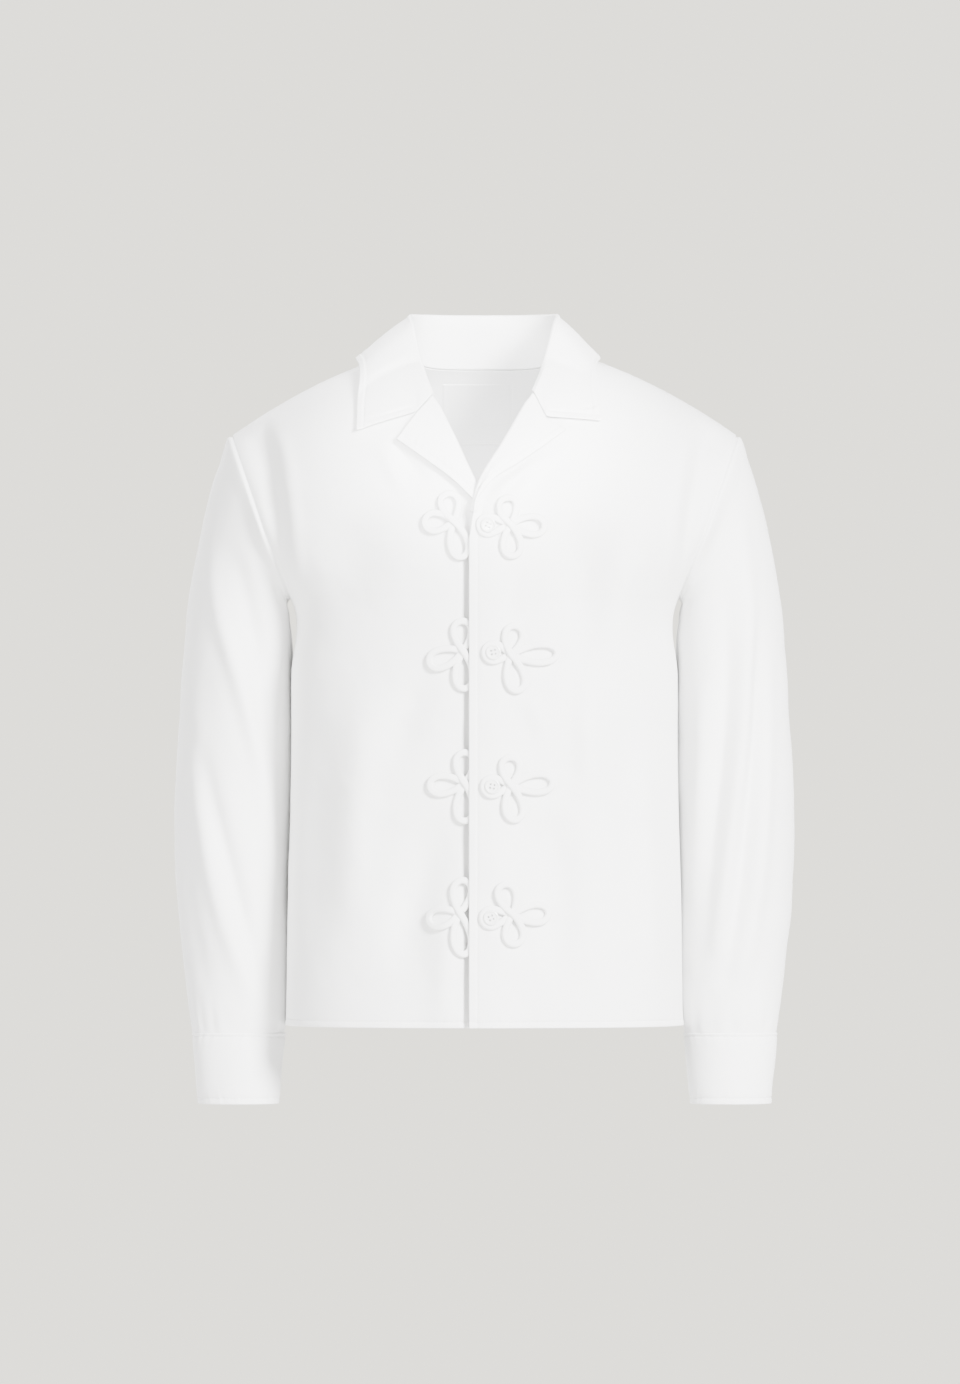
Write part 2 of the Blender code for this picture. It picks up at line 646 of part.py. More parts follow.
def make_button(name, centre_xz, finish, group, cutters):
    """A four-hole button, lying in its frog's loop."""
    centre = front_point(*centre_xz, LEFT)
    middle = centre[1] - CLOTH / 2 - CORD_GAP - BUTTON_THICK / 2

    def disc(radius, height, sides, x, z):
        bm = bmesh.new()
        bmesh.ops.create_cone(bm, cap_ends=True, segments=sides, radius1=radius, radius2=radius, depth=height)
        mesh = bpy.data.meshes.new(name)
        bm.to_mesh(mesh)
        bm.free()
        for v in mesh.vertices:
            v.co = (v.co.x + x, v.co.z + middle, z - v.co.y)
        return mesh

    button = add(name, disc(BUTTON, BUTTON_THICK, 24, centre[0], centre[2]), finish, group)
    for i, (sx, sz) in enumerate([(-1, -1), (1, -1), (-1, 1), (1, 1)]):
        at = (centre[0] + sx * HOLE_AT, centre[2] + sz * HOLE_AT)
        drill = add(f"{name}_hole_{i}", disc(BUTTON_HOLE, 2 * BUTTON_THICK, 6, *at), finish, cutters)
        drill.hide_render = True
        drill.display_type = "WIRE"
        cut = button.modifiers.new(f"hole_{i}", "BOOLEAN")
        cut.operation = "DIFFERENCE"
        cut.solver = "EXACT"
        cut.object = drill
    return button


def make_frogs(finish, button_finish, group, cutters):
    for i, (knot, top, foot, out, button) in enumerate(LEFT_FROGS, 1):
        loops = [petal_line(knot, tip) for tip in (top, foot, out)] + [loop_line(knot, button)]
        make_frog(f"frog_left_{i}", LEFT, knot, loops, finish, group, cutters)
        make_button(f"button_{i}", button, button_finish, group, cutters)
    for i, (knot, *tips) in enumerate(RIGHT_FROGS, 1):
        loops = [petal_line(knot, tip) for tip in tips]
        make_frog(f"frog_right_{i}", RIGHT, knot, loops, finish, group, cutters)


def main():
    clear_scene()
    group = collection(NAME)
    cutters = collection("cutters")
    shirting = material("shirting", WHITE, 0.85)
    tape = material("label_tape", WHITE, 0.7)
    cord = material("frog_cord", WHITE, 0.8)
    shell = material("button_white", (0.88, 0.88, 0.86, 1.0), 0.35)
    make_front("front_left", LEFT, shirting, group)
    make_front("front_right", RIGHT, shirting, group)
    make_back(shirting, group)
    make_yoke(shirting, group)
    for hand in (LEFT, RIGHT):
        make_sleeve(hand, shirting, group)
        make_cuff(hand, shirting, group)
        make_lapel(hand, shirting, group)
    make_collar(shirting, group)
    make_label(tape, group)
    make_frogs(cord, shell, group, cutters)


main()
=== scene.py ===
"""A white camp-collar shirt with corded frog closures, finished as sewn cloth.

Metres, +Z up. The front faces -Y and +X is the wearer's left, whose front lies on top.
Each piece of cloth is a grid of points on its middle surface. It gets folds, topstitched
edges and puckers there, and is then closed into a wall with rounded edges.
"""

import math

import bmesh
import bpy
import numpy as np
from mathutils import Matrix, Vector


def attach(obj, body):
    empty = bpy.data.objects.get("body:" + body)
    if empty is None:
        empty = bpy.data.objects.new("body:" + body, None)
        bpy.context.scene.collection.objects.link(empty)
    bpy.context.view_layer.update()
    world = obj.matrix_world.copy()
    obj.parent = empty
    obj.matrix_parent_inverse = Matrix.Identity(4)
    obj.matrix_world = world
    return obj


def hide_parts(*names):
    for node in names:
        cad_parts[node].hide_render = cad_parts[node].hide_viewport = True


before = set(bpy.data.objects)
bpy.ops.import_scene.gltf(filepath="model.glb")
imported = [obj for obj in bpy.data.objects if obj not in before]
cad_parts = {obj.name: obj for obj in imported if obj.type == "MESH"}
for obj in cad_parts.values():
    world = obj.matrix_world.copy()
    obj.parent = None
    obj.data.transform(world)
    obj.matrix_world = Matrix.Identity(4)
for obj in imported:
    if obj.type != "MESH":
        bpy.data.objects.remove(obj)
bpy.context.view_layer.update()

FRONT, BACK = -1, 1
LEFT, RIGHT = 1, -1  # the wearer's, so LEFT is +X
SIDE = {LEFT: "left", RIGHT: "right"}

# Cloth
PLY = 0.0007
HEM_PLY = 0.0018  # turned edges: hem, placket, cuff, lapel and collar leaf
SEAM = 0.0008
GORGE_GAP = 0.0030  # between the collar and a lapel, from the gorge to the notch
COLLAR_SEAM = 0.0017
GROOVE = 0.0012  # half width of the dent along a row of stitches
DENT = 0.00045  # depth of that dent
RIPPLE, RIPPLE_REACH, RIPPLE_LONG = 0.00016, 0.007, 0.0085  # puckers beside a row of stitches
FIRM_RIPPLE = 0.00028  # puckers on the turned edges of collar and lapels
EDGE_FADE = 0.020  # pieces that meet at a seam are still within this distance of it

# Body
HEM_Z = -0.6326
UNDERARM_Z = -0.225
NECK_X = 0.078
MIDDLE_ROUND = 0.040  # the shoulder line and the roll are rounded off this near the middle
NECK_Z = 0.0125
SHOULDER_SLOPE = 0.28
SHOULDER_CURVE = 1.3
SHOULDER_X = 0.241
SHOULDER_Z = -0.069
BACK_NECK_Z = -0.004
YOKE_Z = -0.073
YOKE_DROP = 0.045
BODY_ROUND = {FRONT: 2.5, BACK: 2.05}
RIDGE_ROUND = 1.7
HALF_WIDTH = [
    (HEM_Z, 0.190), (-0.50, 0.188), (-0.40, 0.1853), (-0.30, 0.185), (UNDERARM_Z, 0.1855),
    (-0.212, 0.193), (-0.190, 0.2086), (-0.157, 0.230), (-0.120, 0.2435), (-0.090, 0.258), (0.02, 0.285),
]
ARMHOLE = [(UNDERARM_Z, 0.1855), (-0.210, 0.190), (-0.157, 0.2105), (-0.125, 0.2215), (SHOULDER_Z, SHOULDER_X)]
FRONT_DEPTH = [(HEM_Z, 0.128), (-0.45, 0.126), (-0.30, 0.130), (-0.20, 0.134), (0.02, 0.130)]
BACK_DEPTH = [(HEM_Z, 0.118), (-0.45, 0.108), (-0.30, 0.112), (-0.15, 0.119), (0.02, 0.115)]
FRONT_ROLL = [(0.0, 0.175), (SHOULDER_X, 0.115)]
BACK_ROLL = [(0.0, 0.130), (SHOULDER_X, 0.115)]

# Front edges
LAP = 0.014  # how far each front runs past the middle
LAP_LIFT = 0.0062
LAP_DIP = 0.0015
# The right front's tuck beside the left one's edge
TUCK_OUT, TUCK_WIDE, TUCK_DEEP = 0.0012, 0.0026, 0.0060
LAP_IN, LAP_OUT = 0.004, 0.046

# Collar and lapels
FOLD = 0.002
CREST = 0.0035
LEAF_LIFT = 0.0046
LEAF_OVER = 0.0020  # height of the leaf above the shoulder line
LAPEL_LIFT = {LEFT: 0.0062, RIGHT: 0.0070}
COLLAR_Z = 0.049
GORGE_X = 0.0455  # where the crest of the collar's pattern ends
NOTCH_SHARE = 0.34  # share of the fall's end that lies above the notch
GORGE = {LEFT: (GORGE_X, -0.0265), RIGHT: (-0.0490, -0.0290)}
NOTCH = {LEFT: (0.0592, -0.0512), RIGHT: (-0.0655, -0.0465)}
LAPEL_TIP = {LEFT: (0.0770, -0.0640), RIGHT: (-0.0830, -0.0730)}
BREAK = {LEFT: (-0.0135, -0.1420), RIGHT: (0.0100, -0.1480)}
CREST_LINE = {LEFT: [(0.0190, -0.0730), (-0.0060, -0.1150)], RIGHT: [(-0.0280, -0.0710), (-0.0080, -0.1140)]}
LAPEL_EDGE = {
    LEFT: [(0.0330, -0.0950), (0.0070, -0.1120), (-0.0050, -0.1270)],
    RIGHT: [(-0.0615, -0.0880), (-0.0270, -0.1140), (-0.0105, -0.1300)],
}
LEAF_TIP = {LEFT: (0.1105, -0.0548), RIGHT: (-0.1215, -0.0640)}
LEAF_SIDE = {LEFT: 0.108, RIGHT: 0.1205}

# Sleeves: outer and inner points of each ring, half its depth, and its middle in Y
SLEEVE_RINGS = [
    ((0.2540, -0.095), (0.1874, -0.240), 0.0650, 0.010),
    ((0.2665, -0.135), (0.1852, -0.262), 0.0690, 0.021),
    ((0.2765, -0.180), (0.1838, -0.288), 0.0710, 0.029),
    ((0.2845, -0.225), (0.1830, -0.320), 0.0715, 0.034),
    ((0.2900, -0.285), (0.1831, -0.360), 0.0710, 0.036),
    ((0.2935, -0.345), (0.1833, -0.405), 0.0700, 0.037),
    ((0.2970, -0.405), (0.1845, -0.450), 0.0690, 0.037),
    ((0.2980, -0.460), (0.1860, -0.492), 0.0660, 0.036),
    ((0.2950, -0.520), (0.1870, -0.535), 0.0600, 0.034),
    ((0.2895, -0.570), (0.1880, -0.577), 0.0520, 0.030),
    ((0.2850, -0.610), (0.1893, -0.613), 0.0430, 0.024),
    ((0.2797, -0.6445), (0.1931, -0.6445), 0.0333, 0.018),
]
CUFF_TOP = ((0.2808, -0.6420), (0.1920, -0.6420), 0.0345, 0.018)
CUFF_FOOT = ((0.2748, -0.7085), (0.1980, -0.7085), 0.0338, 0.010)

# Frogs: each knot, then the tips of its petals from the knot, and the button in the loop
CORD_WIDE = 0.0066
CORD_HIGH = 0.0052
CORD_RISE = 0.0026  # how far the upper strand rises over the knot
PETAL_WIDTH = 0.0172
CORD_SIDES = 18
CORD_GIRTH = 0.0155
CORD_STEP = 0.00085
CORD_GROOVE, CORD_GROOVE_WIDE = 0.26, 0.22  # between the cord's two strands
CORD_END = ((0.80, 0.0008), (0.45, 0.0014), (0.12, 0.0016))  # how an end shrinks as it closes
LEFT_FROGS = [
    ((0.0240, -0.1551), (-0.0053, 0.0294), (0.0024, -0.0330), (0.0360, -0.0013), (0.0034, -0.1555)),
    ((0.0240, -0.2784), (0.0053, 0.0307), (0.0082, -0.0374), (0.0475, 0.0019), (0.0084, -0.2761)),
    ((0.0240, -0.4022), (0.0000, 0.0298), (0.0053, -0.0365), (0.0437, 0.0029), (0.0074, -0.4035)),
    ((0.0261, -0.5251), (-0.0093, 0.0317), (0.0022, -0.0317), (0.0368, 0.0010), (0.0062, -0.5283)),
]
RIGHT_FROGS = [
    ((-0.0293, -0.1517), (-0.0067, 0.0288), (0.0086, -0.0374), (-0.0307, -0.0014)),
    ((-0.0203, -0.2746), (-0.0013, 0.0317), (0.0015, -0.0394), (-0.0349, -0.0125)),
    ((-0.0187, -0.4003), (0.0000, 0.0326), (0.0000, -0.0394), (-0.0365, -0.0029)),
    ((-0.0245, -0.5242), (0.0058, 0.0346), (0.0048, -0.0422), (-0.0298, -0.0086)),
]
BUTTON_RISE = 0.0024  # height of its back over the cloth
BUTTON_DISH = 0.0019
BUTTON_OUTLINE = [
    (0, 0), (0.0052, 0), (0.0064, 0.00015), (0.0071, 0.0006), (0.0074, 0.0011), (0.0073, 0.0017),
    (0.0069, 0.0022), (0.0064, 0.0025), (0.0059, 0.0026), (0.0056, 0.0024), (0.0053, 0.00205),
    (0.0049, 0.00195), (0.0036, 0.00192), (0.0018, BUTTON_DISH), (0, BUTTON_DISH),
]
BUTTON_TURNS = (-24, 12, -12, 24)  # degrees
HOLE, HOLE_AT = 0.00095, 0.00175
BAR, BAR_APART, BAR_BOW, BAR_SINK = 0.00014, 0.00030, 0.00022, 0.0011  # each pass of thread
LOOP_RADIUS = 0.0086
LOOP_FLAT = 0.72  # the loop is pressed flat under its button

# Label
LABEL_X = (-0.040, 0.027)
LABEL_Z = (-0.056, -0.017)
LABEL_GAP = 0.0011
LABEL_PLY = 0.00045

# Stitching
STITCH = {"Pitch": 0.0032, "Length": 0.0023, "Width": 0.00080}
STITCH_RISE = HEM_PLY * 0.30
HEM_STITCH = 0.0055
PLACKET_STITCH = 0.0078
COLLAR_STITCH = 0.0065
LAPEL_STITCH = 0.0062
CUFF_STITCH = 0.0050
CUFF_SEAM_STITCH = 0.0025
LABEL_STITCH = 0.0016
SEAM_STITCH = 0.0018

# Folds pressed into the cloth: a path, its half width, and the height of its ridge (below 0 for a trough)
CHEST_FOLDS = [
    ([(-0.130, -0.140), (-0.125, -0.190), (-0.128, -0.240)], 0.034, -0.0030),
    ([(-0.086, -0.077), (-0.072, -0.096), (-0.056, -0.112)], 0.0050, -0.0017),
    ([(-0.100, -0.080), (-0.088, -0.104), (-0.074, -0.124)], 0.0070, 0.0011),
    ([(-0.112, -0.310), (-0.122, -0.400), (-0.128, -0.540)], 0.020, 0.0026),
    ([(-0.158, -0.330), (-0.160, -0.440), (-0.164, -0.560)], 0.018, -0.0020),
    ([(-0.040, -0.440), (-0.062, -0.500), (-0.080, -0.580)], 0.021, -0.0036),
    ([(-0.030, -0.510), (-0.036, -0.570), (-0.040, -0.636)], 0.015, 0.0022),
    ([(-0.052, -0.290), (-0.070, -0.330), (-0.084, -0.380)], 0.016, -0.0015),
    ([(0.002, -0.146), (0.022, -0.118), (0.052, -0.093)], 0.0070, 0.0018),
    ([(0.022, -0.150), (0.050, -0.116), (0.086, -0.088)], 0.0100, -0.0010),
    ([(0.072, -0.070), (0.035, -0.097), (0.008, -0.115), (-0.004, -0.129)], 0.0060, -0.0012),
    ([(0.144, -0.130), (0.138, -0.200), (0.128, -0.270)], 0.026, 0.0036),
    ([(0.086, -0.150), (0.092, -0.230), (0.088, -0.330)], 0.022, -0.0026),
    ([(0.100, -0.290), (0.100, -0.360), (0.104, -0.430)], 0.014, 0.0022),
    ([(0.130, -0.340), (0.140, -0.430), (0.150, -0.520)], 0.016, -0.0022),
    ([(0.146, -0.380), (0.156, -0.470), (0.166, -0.600)], 0.013, 0.0024),
    ([(0.060, -0.430), (0.070, -0.500), (0.066, -0.590)], 0.020, -0.0028),
    ([(0.034, -0.200), (0.026, -0.225), (0.024, -0.246)], 0.0075, -0.0009),
    ([(0.040, -0.317), (0.048, -0.335), (0.056, -0.352)], 0.0080, 0.0010),
]
BACK_FOLDS = [
    ([(-0.120, -0.150), (-0.110, -0.260), (-0.115, -0.400)], 0.024, 0.0030),
    ([(-0.060, -0.180), (-0.052, -0.330), (-0.070, -0.520)], 0.022, -0.0026),
    ([(-0.090, -0.420), (-0.098, -0.520), (-0.104, -0.620)], 0.018, 0.0028),
    ([(-0.150, -0.300), (-0.148, -0.430), (-0.156, -0.560)], 0.016, -0.0024),
    ([(0.010, -0.140), (0.000, -0.300), (-0.008, -0.450)], 0.026, 0.0022),
    ([(0.066, -0.200), (0.056, -0.350), (0.048, -0.560)], 0.022, -0.0028),
    ([(0.118, -0.160), (0.110, -0.300), (0.120, -0.480)], 0.024, 0.0030),
    ([(0.090, -0.430), (0.096, -0.530), (0.100, -0.620)], 0.016, 0.0020),
    ([(0.150, -0.300), (0.148, -0.430), (0.158, -0.560)], 0.016, -0.0024),
]
# Sleeve folds are at the wearer's left in (|x|, z)
SLEEVE_FOLDS = {
    RIGHT: [
        ([(0.266, -0.139), (0.258, -0.220), (0.230, -0.320), (0.208, -0.417), (0.197, -0.561)],
         0.0085, 0.0050),
        ([(0.280, -0.300), (0.270, -0.441), (0.249, -0.537), (0.222, -0.609)], 0.0095, 0.0048),
        ([(0.284, -0.336), (0.263, -0.417), (0.235, -0.513), (0.208, -0.609)], 0.0085, -0.0046),
        ([(0.246, -0.170), (0.222, -0.250), (0.204, -0.360), (0.196, -0.480)], 0.0110, -0.0050),
        ([(0.290, -0.430), (0.283, -0.520), (0.268, -0.600)], 0.0075, -0.0030),
    ],
    LEFT: [
        ([(0.246, -0.140), (0.252, -0.220), (0.250, -0.322), (0.236, -0.466), (0.222, -0.570)],
         0.0085, 0.0048),
        ([(0.272, -0.270), (0.270, -0.380), (0.262, -0.500), (0.246, -0.600)], 0.0085, 0.0042),
        ([(0.262, -0.240), (0.258, -0.380), (0.246, -0.490), (0.230, -0.600)], 0.0075, -0.0042),
        ([(0.232, -0.200), (0.230, -0.330), (0.218, -0.440), (0.206, -0.580)], 0.0095, -0.0046),
        ([(0.209, -0.300), (0.206, -0.420), (0.198, -0.540)], 0.0080, 0.0036),
    ],
}
SLEEVE_BACK_FOLDS = [
    ([(0.262, -0.150), (0.252, -0.260), (0.226, -0.380), (0.206, -0.540)], 0.0100, 0.0046),
    ([(0.282, -0.330), (0.264, -0.440), (0.240, -0.560)], 0.0095, -0.0044),
    ([(0.240, -0.210), (0.216, -0.320), (0.200, -0.460)], 0.0110, -0.0044),
    ([(0.286, -0.430), (0.266, -0.540), (0.244, -0.610)], 0.0085, 0.0040),
]
BODY_FOLDING = 3.0
SLEEVE_FOLDING = {RIGHT: 1.3, LEFT: 1.75}
SIDE_CREASE = [(UNDERARM_Z, 0.1835), (-0.168, 0.1848), (-0.110, 0.1905), (-0.058, 0.2000), (-0.020, 0.2040)]
SIDE_CREASE_DEPTH = 0.013

# Finishes
WHITE, OFF_WHITE = (0.90, 0.90, 0.895, 1), (0.87, 0.87, 0.865, 1)
THREAD_SHADE = (0.82, 0.82, 0.81, 1)
RESIN, RESIN_SHADE = (0.90, 0.90, 0.89, 1), (0.84, 0.84, 0.83, 1)
FLOOR = (0.62, 0.615, 0.60, 1)

# Light and camera
CAMERA_FAR = 12.0
FRAME_TALL = 1.3286
SENSOR = 36.0
AIM = (-0.0043, 0.0, -0.3139)
FLOOR_Z, FLOOR_RADIUS = -1.45, 6.0
AMBIENT = ((1.0, 0.985, 0.96, 1), 1.0)  # colour and strength
BACKDROP = ((1.0, 0.972, 0.858, 1), 2.33)
LIGHT_AIM = (0, 0, -0.3)
LIGHTS = (  # name, place, size and power
    ("key", (2.85, -4.15, 1.8), 1.6, 1650.0),
    ("fill", (-3.2, -3.6, 0.2), 2.2, 290.0),
    ("back", (-1.5, 3.6, 2.0), 2.5, 620.0),
)
NECK_LIGHT, NECK_LIGHT_AIM = (0.05, -3.6, 0.30), (-0.003, 0.06, -0.035)
NECK_LIGHT_POWER, NECK_LIGHT_DEGREES, NECK_LIGHT_SIZE = 14000.0, 2.3, 0.15


# ---- curves and surfaces ----


def profile(knots, at):
    """A smooth line through (place, value) pairs, read at the places asked for."""
    place = np.array([k[0] for k in knots], float)
    value = np.array([k[1] for k in knots], float)
    slope = np.gradient(value, place, axis=0)
    at = np.asarray(at, float)
    i = np.clip(np.searchsorted(place, at) - 1, 0, len(place) - 2)
    step = place[i + 1] - place[i]
    t = np.clip((at - place[i]) / step, 0, 1)
    for _ in range(value.ndim - 1):
        t, step = t[..., None], step[..., None]
    rise = value[i + 1] - value[i]
    bend = slope[i] * step * (1 - t) - slope[i + 1] * step * t + rise * (2 * t - 1)
    return value[i] + rise * t + t * (1 - t) * bend


def distances(line):
    """How far along a line of points each one lies."""
    return np.concatenate([[0], np.cumsum(np.linalg.norm(np.diff(line, axis=0), axis=1))])


def through(points, t):
    """The points at t, 0 to 1, on a smooth curve through these points, by their distances apart."""
    points = np.array(points, float)
    gaps = np.linalg.norm(np.diff(points, axis=0), axis=1)
    along = distances(points) / gaps.sum()
    return profile(list(zip(along, points)), t)


def ease(low, high, at):
    t = np.clip((at - low) / (high - low), 0, 1)
    return t * t * (3 - 2 * t)


def unit(v):
    return v / np.maximum(np.linalg.norm(v, axis=-1, keepdims=True), 1e-12)


def bump(at, half):
    return np.exp(-((at / half) ** 2))


def waves(seed, size, *places):
    """A smooth random surface of about this wavelength, from -1 to 1 or a little more."""
    rng = np.random.default_rng(seed)
    out = 0.0
    for _ in range(9):
        turn = rng.normal(size=len(places))
        turn *= 2 * math.pi / (size * rng.uniform(0.7, 1.4)) / np.linalg.norm(turn)
        out = out + np.sin(sum(k * p for k, p in zip(turn, places)) + rng.uniform(0, 2 * math.pi))
    return out / 3.0


def pressed(strokes, x, z):
    """How far the folds move the cloth out at (x, z)."""
    out = np.zeros(np.broadcast(x, z).shape)
    for path, half, height in strokes:
        t = np.linspace(0, 1, 33)
        line = through(path, t)
        step = np.linalg.norm(np.diff(line, axis=0), axis=1).mean()
        for (px, pz), share in zip(line, np.sin(math.pi * t) ** 0.6):
            out += height * share * np.exp(-((x - px) ** 2 + (z - pz) ** 2) / half**2) * step / half / 1.772
    return out


def rounded(x):
    """The distance from the middle, rounded off there so that nothing creases down the centre."""
    x = np.abs(x)
    return np.where(x < MIDDLE_ROUND, (x**2 + MIDDLE_ROUND**2) / (2 * MIDDLE_ROUND), x)


def ridge(x):
    """Height of the shoulder line above the body at x."""
    d = rounded(x) - NECK_X
    return NECK_Z - SHOULDER_SLOPE * d - SHOULDER_CURVE * d * np.abs(d)


def side_crease(x, z):
    """The fold that runs up from the side seam beside the armhole: a soft ridge, then a dive to the seam."""
    crease = profile(SIDE_CREASE, z)
    seam = profile(ARMHOLE, z)
    room = np.maximum(seam - crease, 0.002)
    share = (np.abs(x) - crease) / room
    tall = ease(-0.222, -0.165, z) * (1 - ease(-0.085, -0.040, z))
    dive = ease(-0.06, 0.30, share) * (1 - ease(0.30, 1.0, share)) * np.minimum(room / 0.030, 1)
    lip = bump(np.abs(x) - crease + 0.006, 0.0065) * ease(-0.260, -0.190, z) * (1 - ease(-0.090, -0.045, z))
    return 0.0022 * lip - SIDE_CREASE_DEPTH * tall * dive


def body_y(x, z, side, lift=0.0):
    """Y of the body's front or back at (x, z), moved out by lift."""
    x, z = np.asarray(x, float), np.asarray(z, float)
    depth = profile(FRONT_DEPTH if side == FRONT else BACK_DEPTH, z)
    roll = profile(FRONT_ROLL if side == FRONT else BACK_ROLL, rounded(x))
    across = np.clip(np.abs(x) / (profile(HALF_WIDTH, z) + lift), 0, 1)
    round_side = (1 - across ** BODY_ROUND[side]) ** (1 / BODY_ROUND[side])
    above = np.clip(1 - (ridge(x) + lift - z) / (roll + lift), 0, 1)
    round_top = (1 - above**RIDGE_ROUND) ** (1 / RIDGE_ROUND)
    fold = BODY_FOLDING * pressed(CHEST_FOLDS if side == FRONT else BACK_FOLDS, x, z) + side_crease(x, z)
    fold = fold * ease(0.0, 0.35, round_side * round_top)
    return side * ((depth + lift) * round_side * round_top + fold)


def lap(x, z, hand):
    """How far a front stands off the body where the fronts lap: the left one over the right one."""
    low = 1 - ease(-0.10, -0.035, z)
    if hand == LEFT:
        return LAP_LIFT * low * (1 - ease(LAP_IN, LAP_OUT, np.abs(x)) * (x > 0))
    return -LAP_DIP * low * (1 - ease(LAP_IN, LAP_OUT, np.abs(x)) * (x < 0))


def front_point(x, z, hand, lift=0.0):
    """A point on a front, moved out by lift from its middle surface."""
    x, z = np.asarray(x, float), np.asarray(z, float)
    y = body_y(x, z, FRONT, lift) - lap(x, z, hand)
    return np.stack([x, np.minimum(y, -SEAM / 2), z], axis=-1)


def back_point(x, z, lift=0.0):
    x, z = np.asarray(x, float), np.asarray(z, float)
    return np.stack([x, np.maximum(body_y(x, z, BACK, lift), SEAM / 2), z], axis=-1)


def crest(hand, t):
    """The line in (x, z) on which a lapel turns over, from the gorge to the break."""
    return through([GORGE[hand], *CREST_LINE[hand], BREAK[hand]], t)


def towards_neck(line):
    """Unit vectors across a crest line in (x, z), pointing into the neck opening."""
    run = unit(np.gradient(line, axis=0))
    across = np.stack([-run[:, 1], run[:, 0]], axis=1)
    return across * np.where(across[:, 1:] < 0, -1, 1)


def across_gorge(hand):
    """Unit vector across the crest at its upper end."""
    return towards_neck(crest(hand, np.linspace(0, 1, 13)))[0]


def neckline(hand, t):
    """A front's neck edge in (x, z), from the gorge up to the shoulder seam."""
    low = GORGE[hand] - CREST * across_gorge(hand)
    return through([low, (hand * 0.0655, -0.0135), (hand * 0.0750, 0.0030), (hand * NECK_X, NECK_Z)], t)


def back_neck_z(x):
    return BACK_NECK_Z + (NECK_Z - BACK_NECK_Z) * (np.abs(x) / NECK_X) ** 6


def yoke_seam_z(x):
    return YOKE_Z - YOKE_DROP * (np.abs(x) / SHOULDER_X) ** 2


# ---- cloth walls ----


def finely(length, step, stitches=(), far_stitches=()):
    """Distances from 0 to length, closer together along the edges that are stitched."""
    ends = np.array([0, 0.4, 1.0, 1.8]) / 1000
    beside = np.array([-1.8, -1.0, -0.5, 0, 0.5, 1.0, 1.8]) / 1000
    near = [ends] + [s + beside for s in stitches]
    far = [length - ends] + [length - s + beside for s in far_stitches]
    fixed = np.unique(np.concatenate(near + far).clip(0, length).round(7))
    out = [fixed[0]]
    for place in fixed[1:]:
        start = out[-1]
        parts = max(1, math.ceil((place - start) / step))
        out.extend(start + (place - start) * (k + 1) / parts for k in range(parts))
    return np.array(out)


def across_gap(grid, from_end=False, axis=1):
    """Distance of each point from the grid's first column (or last, or row for axis 0)."""
    step = np.linalg.norm(np.diff(grid, axis=axis), axis=-1)
    run = np.cumsum(step, axis=axis)
    shape = list(grid.shape[:2])
    shape[axis] = 1
    run = np.concatenate([np.zeros(shape), run], axis=axis)
    if from_end:
        run = run.take([-1], axis=axis) - run
    return run


def facing(grid, closed=False):
    """Unit normals of a grid of points."""
    if closed:
        wide = np.concatenate([grid[:, -1:], grid, grid[:, :1]], axis=1)
        across = wide[:, 2:] - wide[:, :-2]
    else:
        across = np.gradient(grid, axis=1)
    return unit(np.cross(across, np.gradient(grid, axis=0)))


def outward(grid, guide, closed=False):
    """Unit normals that point the way the guide does."""
    n = facing(grid, closed)
    return n * (1 if (n * guide).sum() > 0 else -1)


def turned_edge(gap, stitch, ply=PLY, edge=HEM_PLY):
    """Half the wall's thickness at a distance from a turned and topstitched edge."""
    thick = ply + (edge - ply) * (1 - ease(stitch + 0.0005, stitch + 0.0020, gap))
    return thick / 2 * (1 - 0.52 * bump(gap - stitch, GROOVE))


def puckers(gap, along, seed, height=RIPPLE, reach=RIPPLE_REACH):
    """Small ripples that a row of stitches draws into the cloth beside it."""
    return height * bump(gap, reach) * waves(seed, RIPPLE_LONG, along + gap * 0.35) - DENT * bump(gap, GROOVE)


def quads(index, closed):
    if closed:
        index = np.concatenate([index, index[:, :1]], axis=1)
    return np.stack([index[:-1, :-1], index[:-1, 1:], index[1:, 1:], index[1:, :-1]], axis=-1).reshape(-1, 4)


def edge_loops(index, closed):
    """The edges of a grid of indices, each in the order that keeps the cloth on its left."""
    if closed:
        return [index[0], index[-1, ::-1]]
    return [np.concatenate([index[0, :-1], index[:-1, -1], index[-1, :0:-1], index[:0:-1, 0]])]


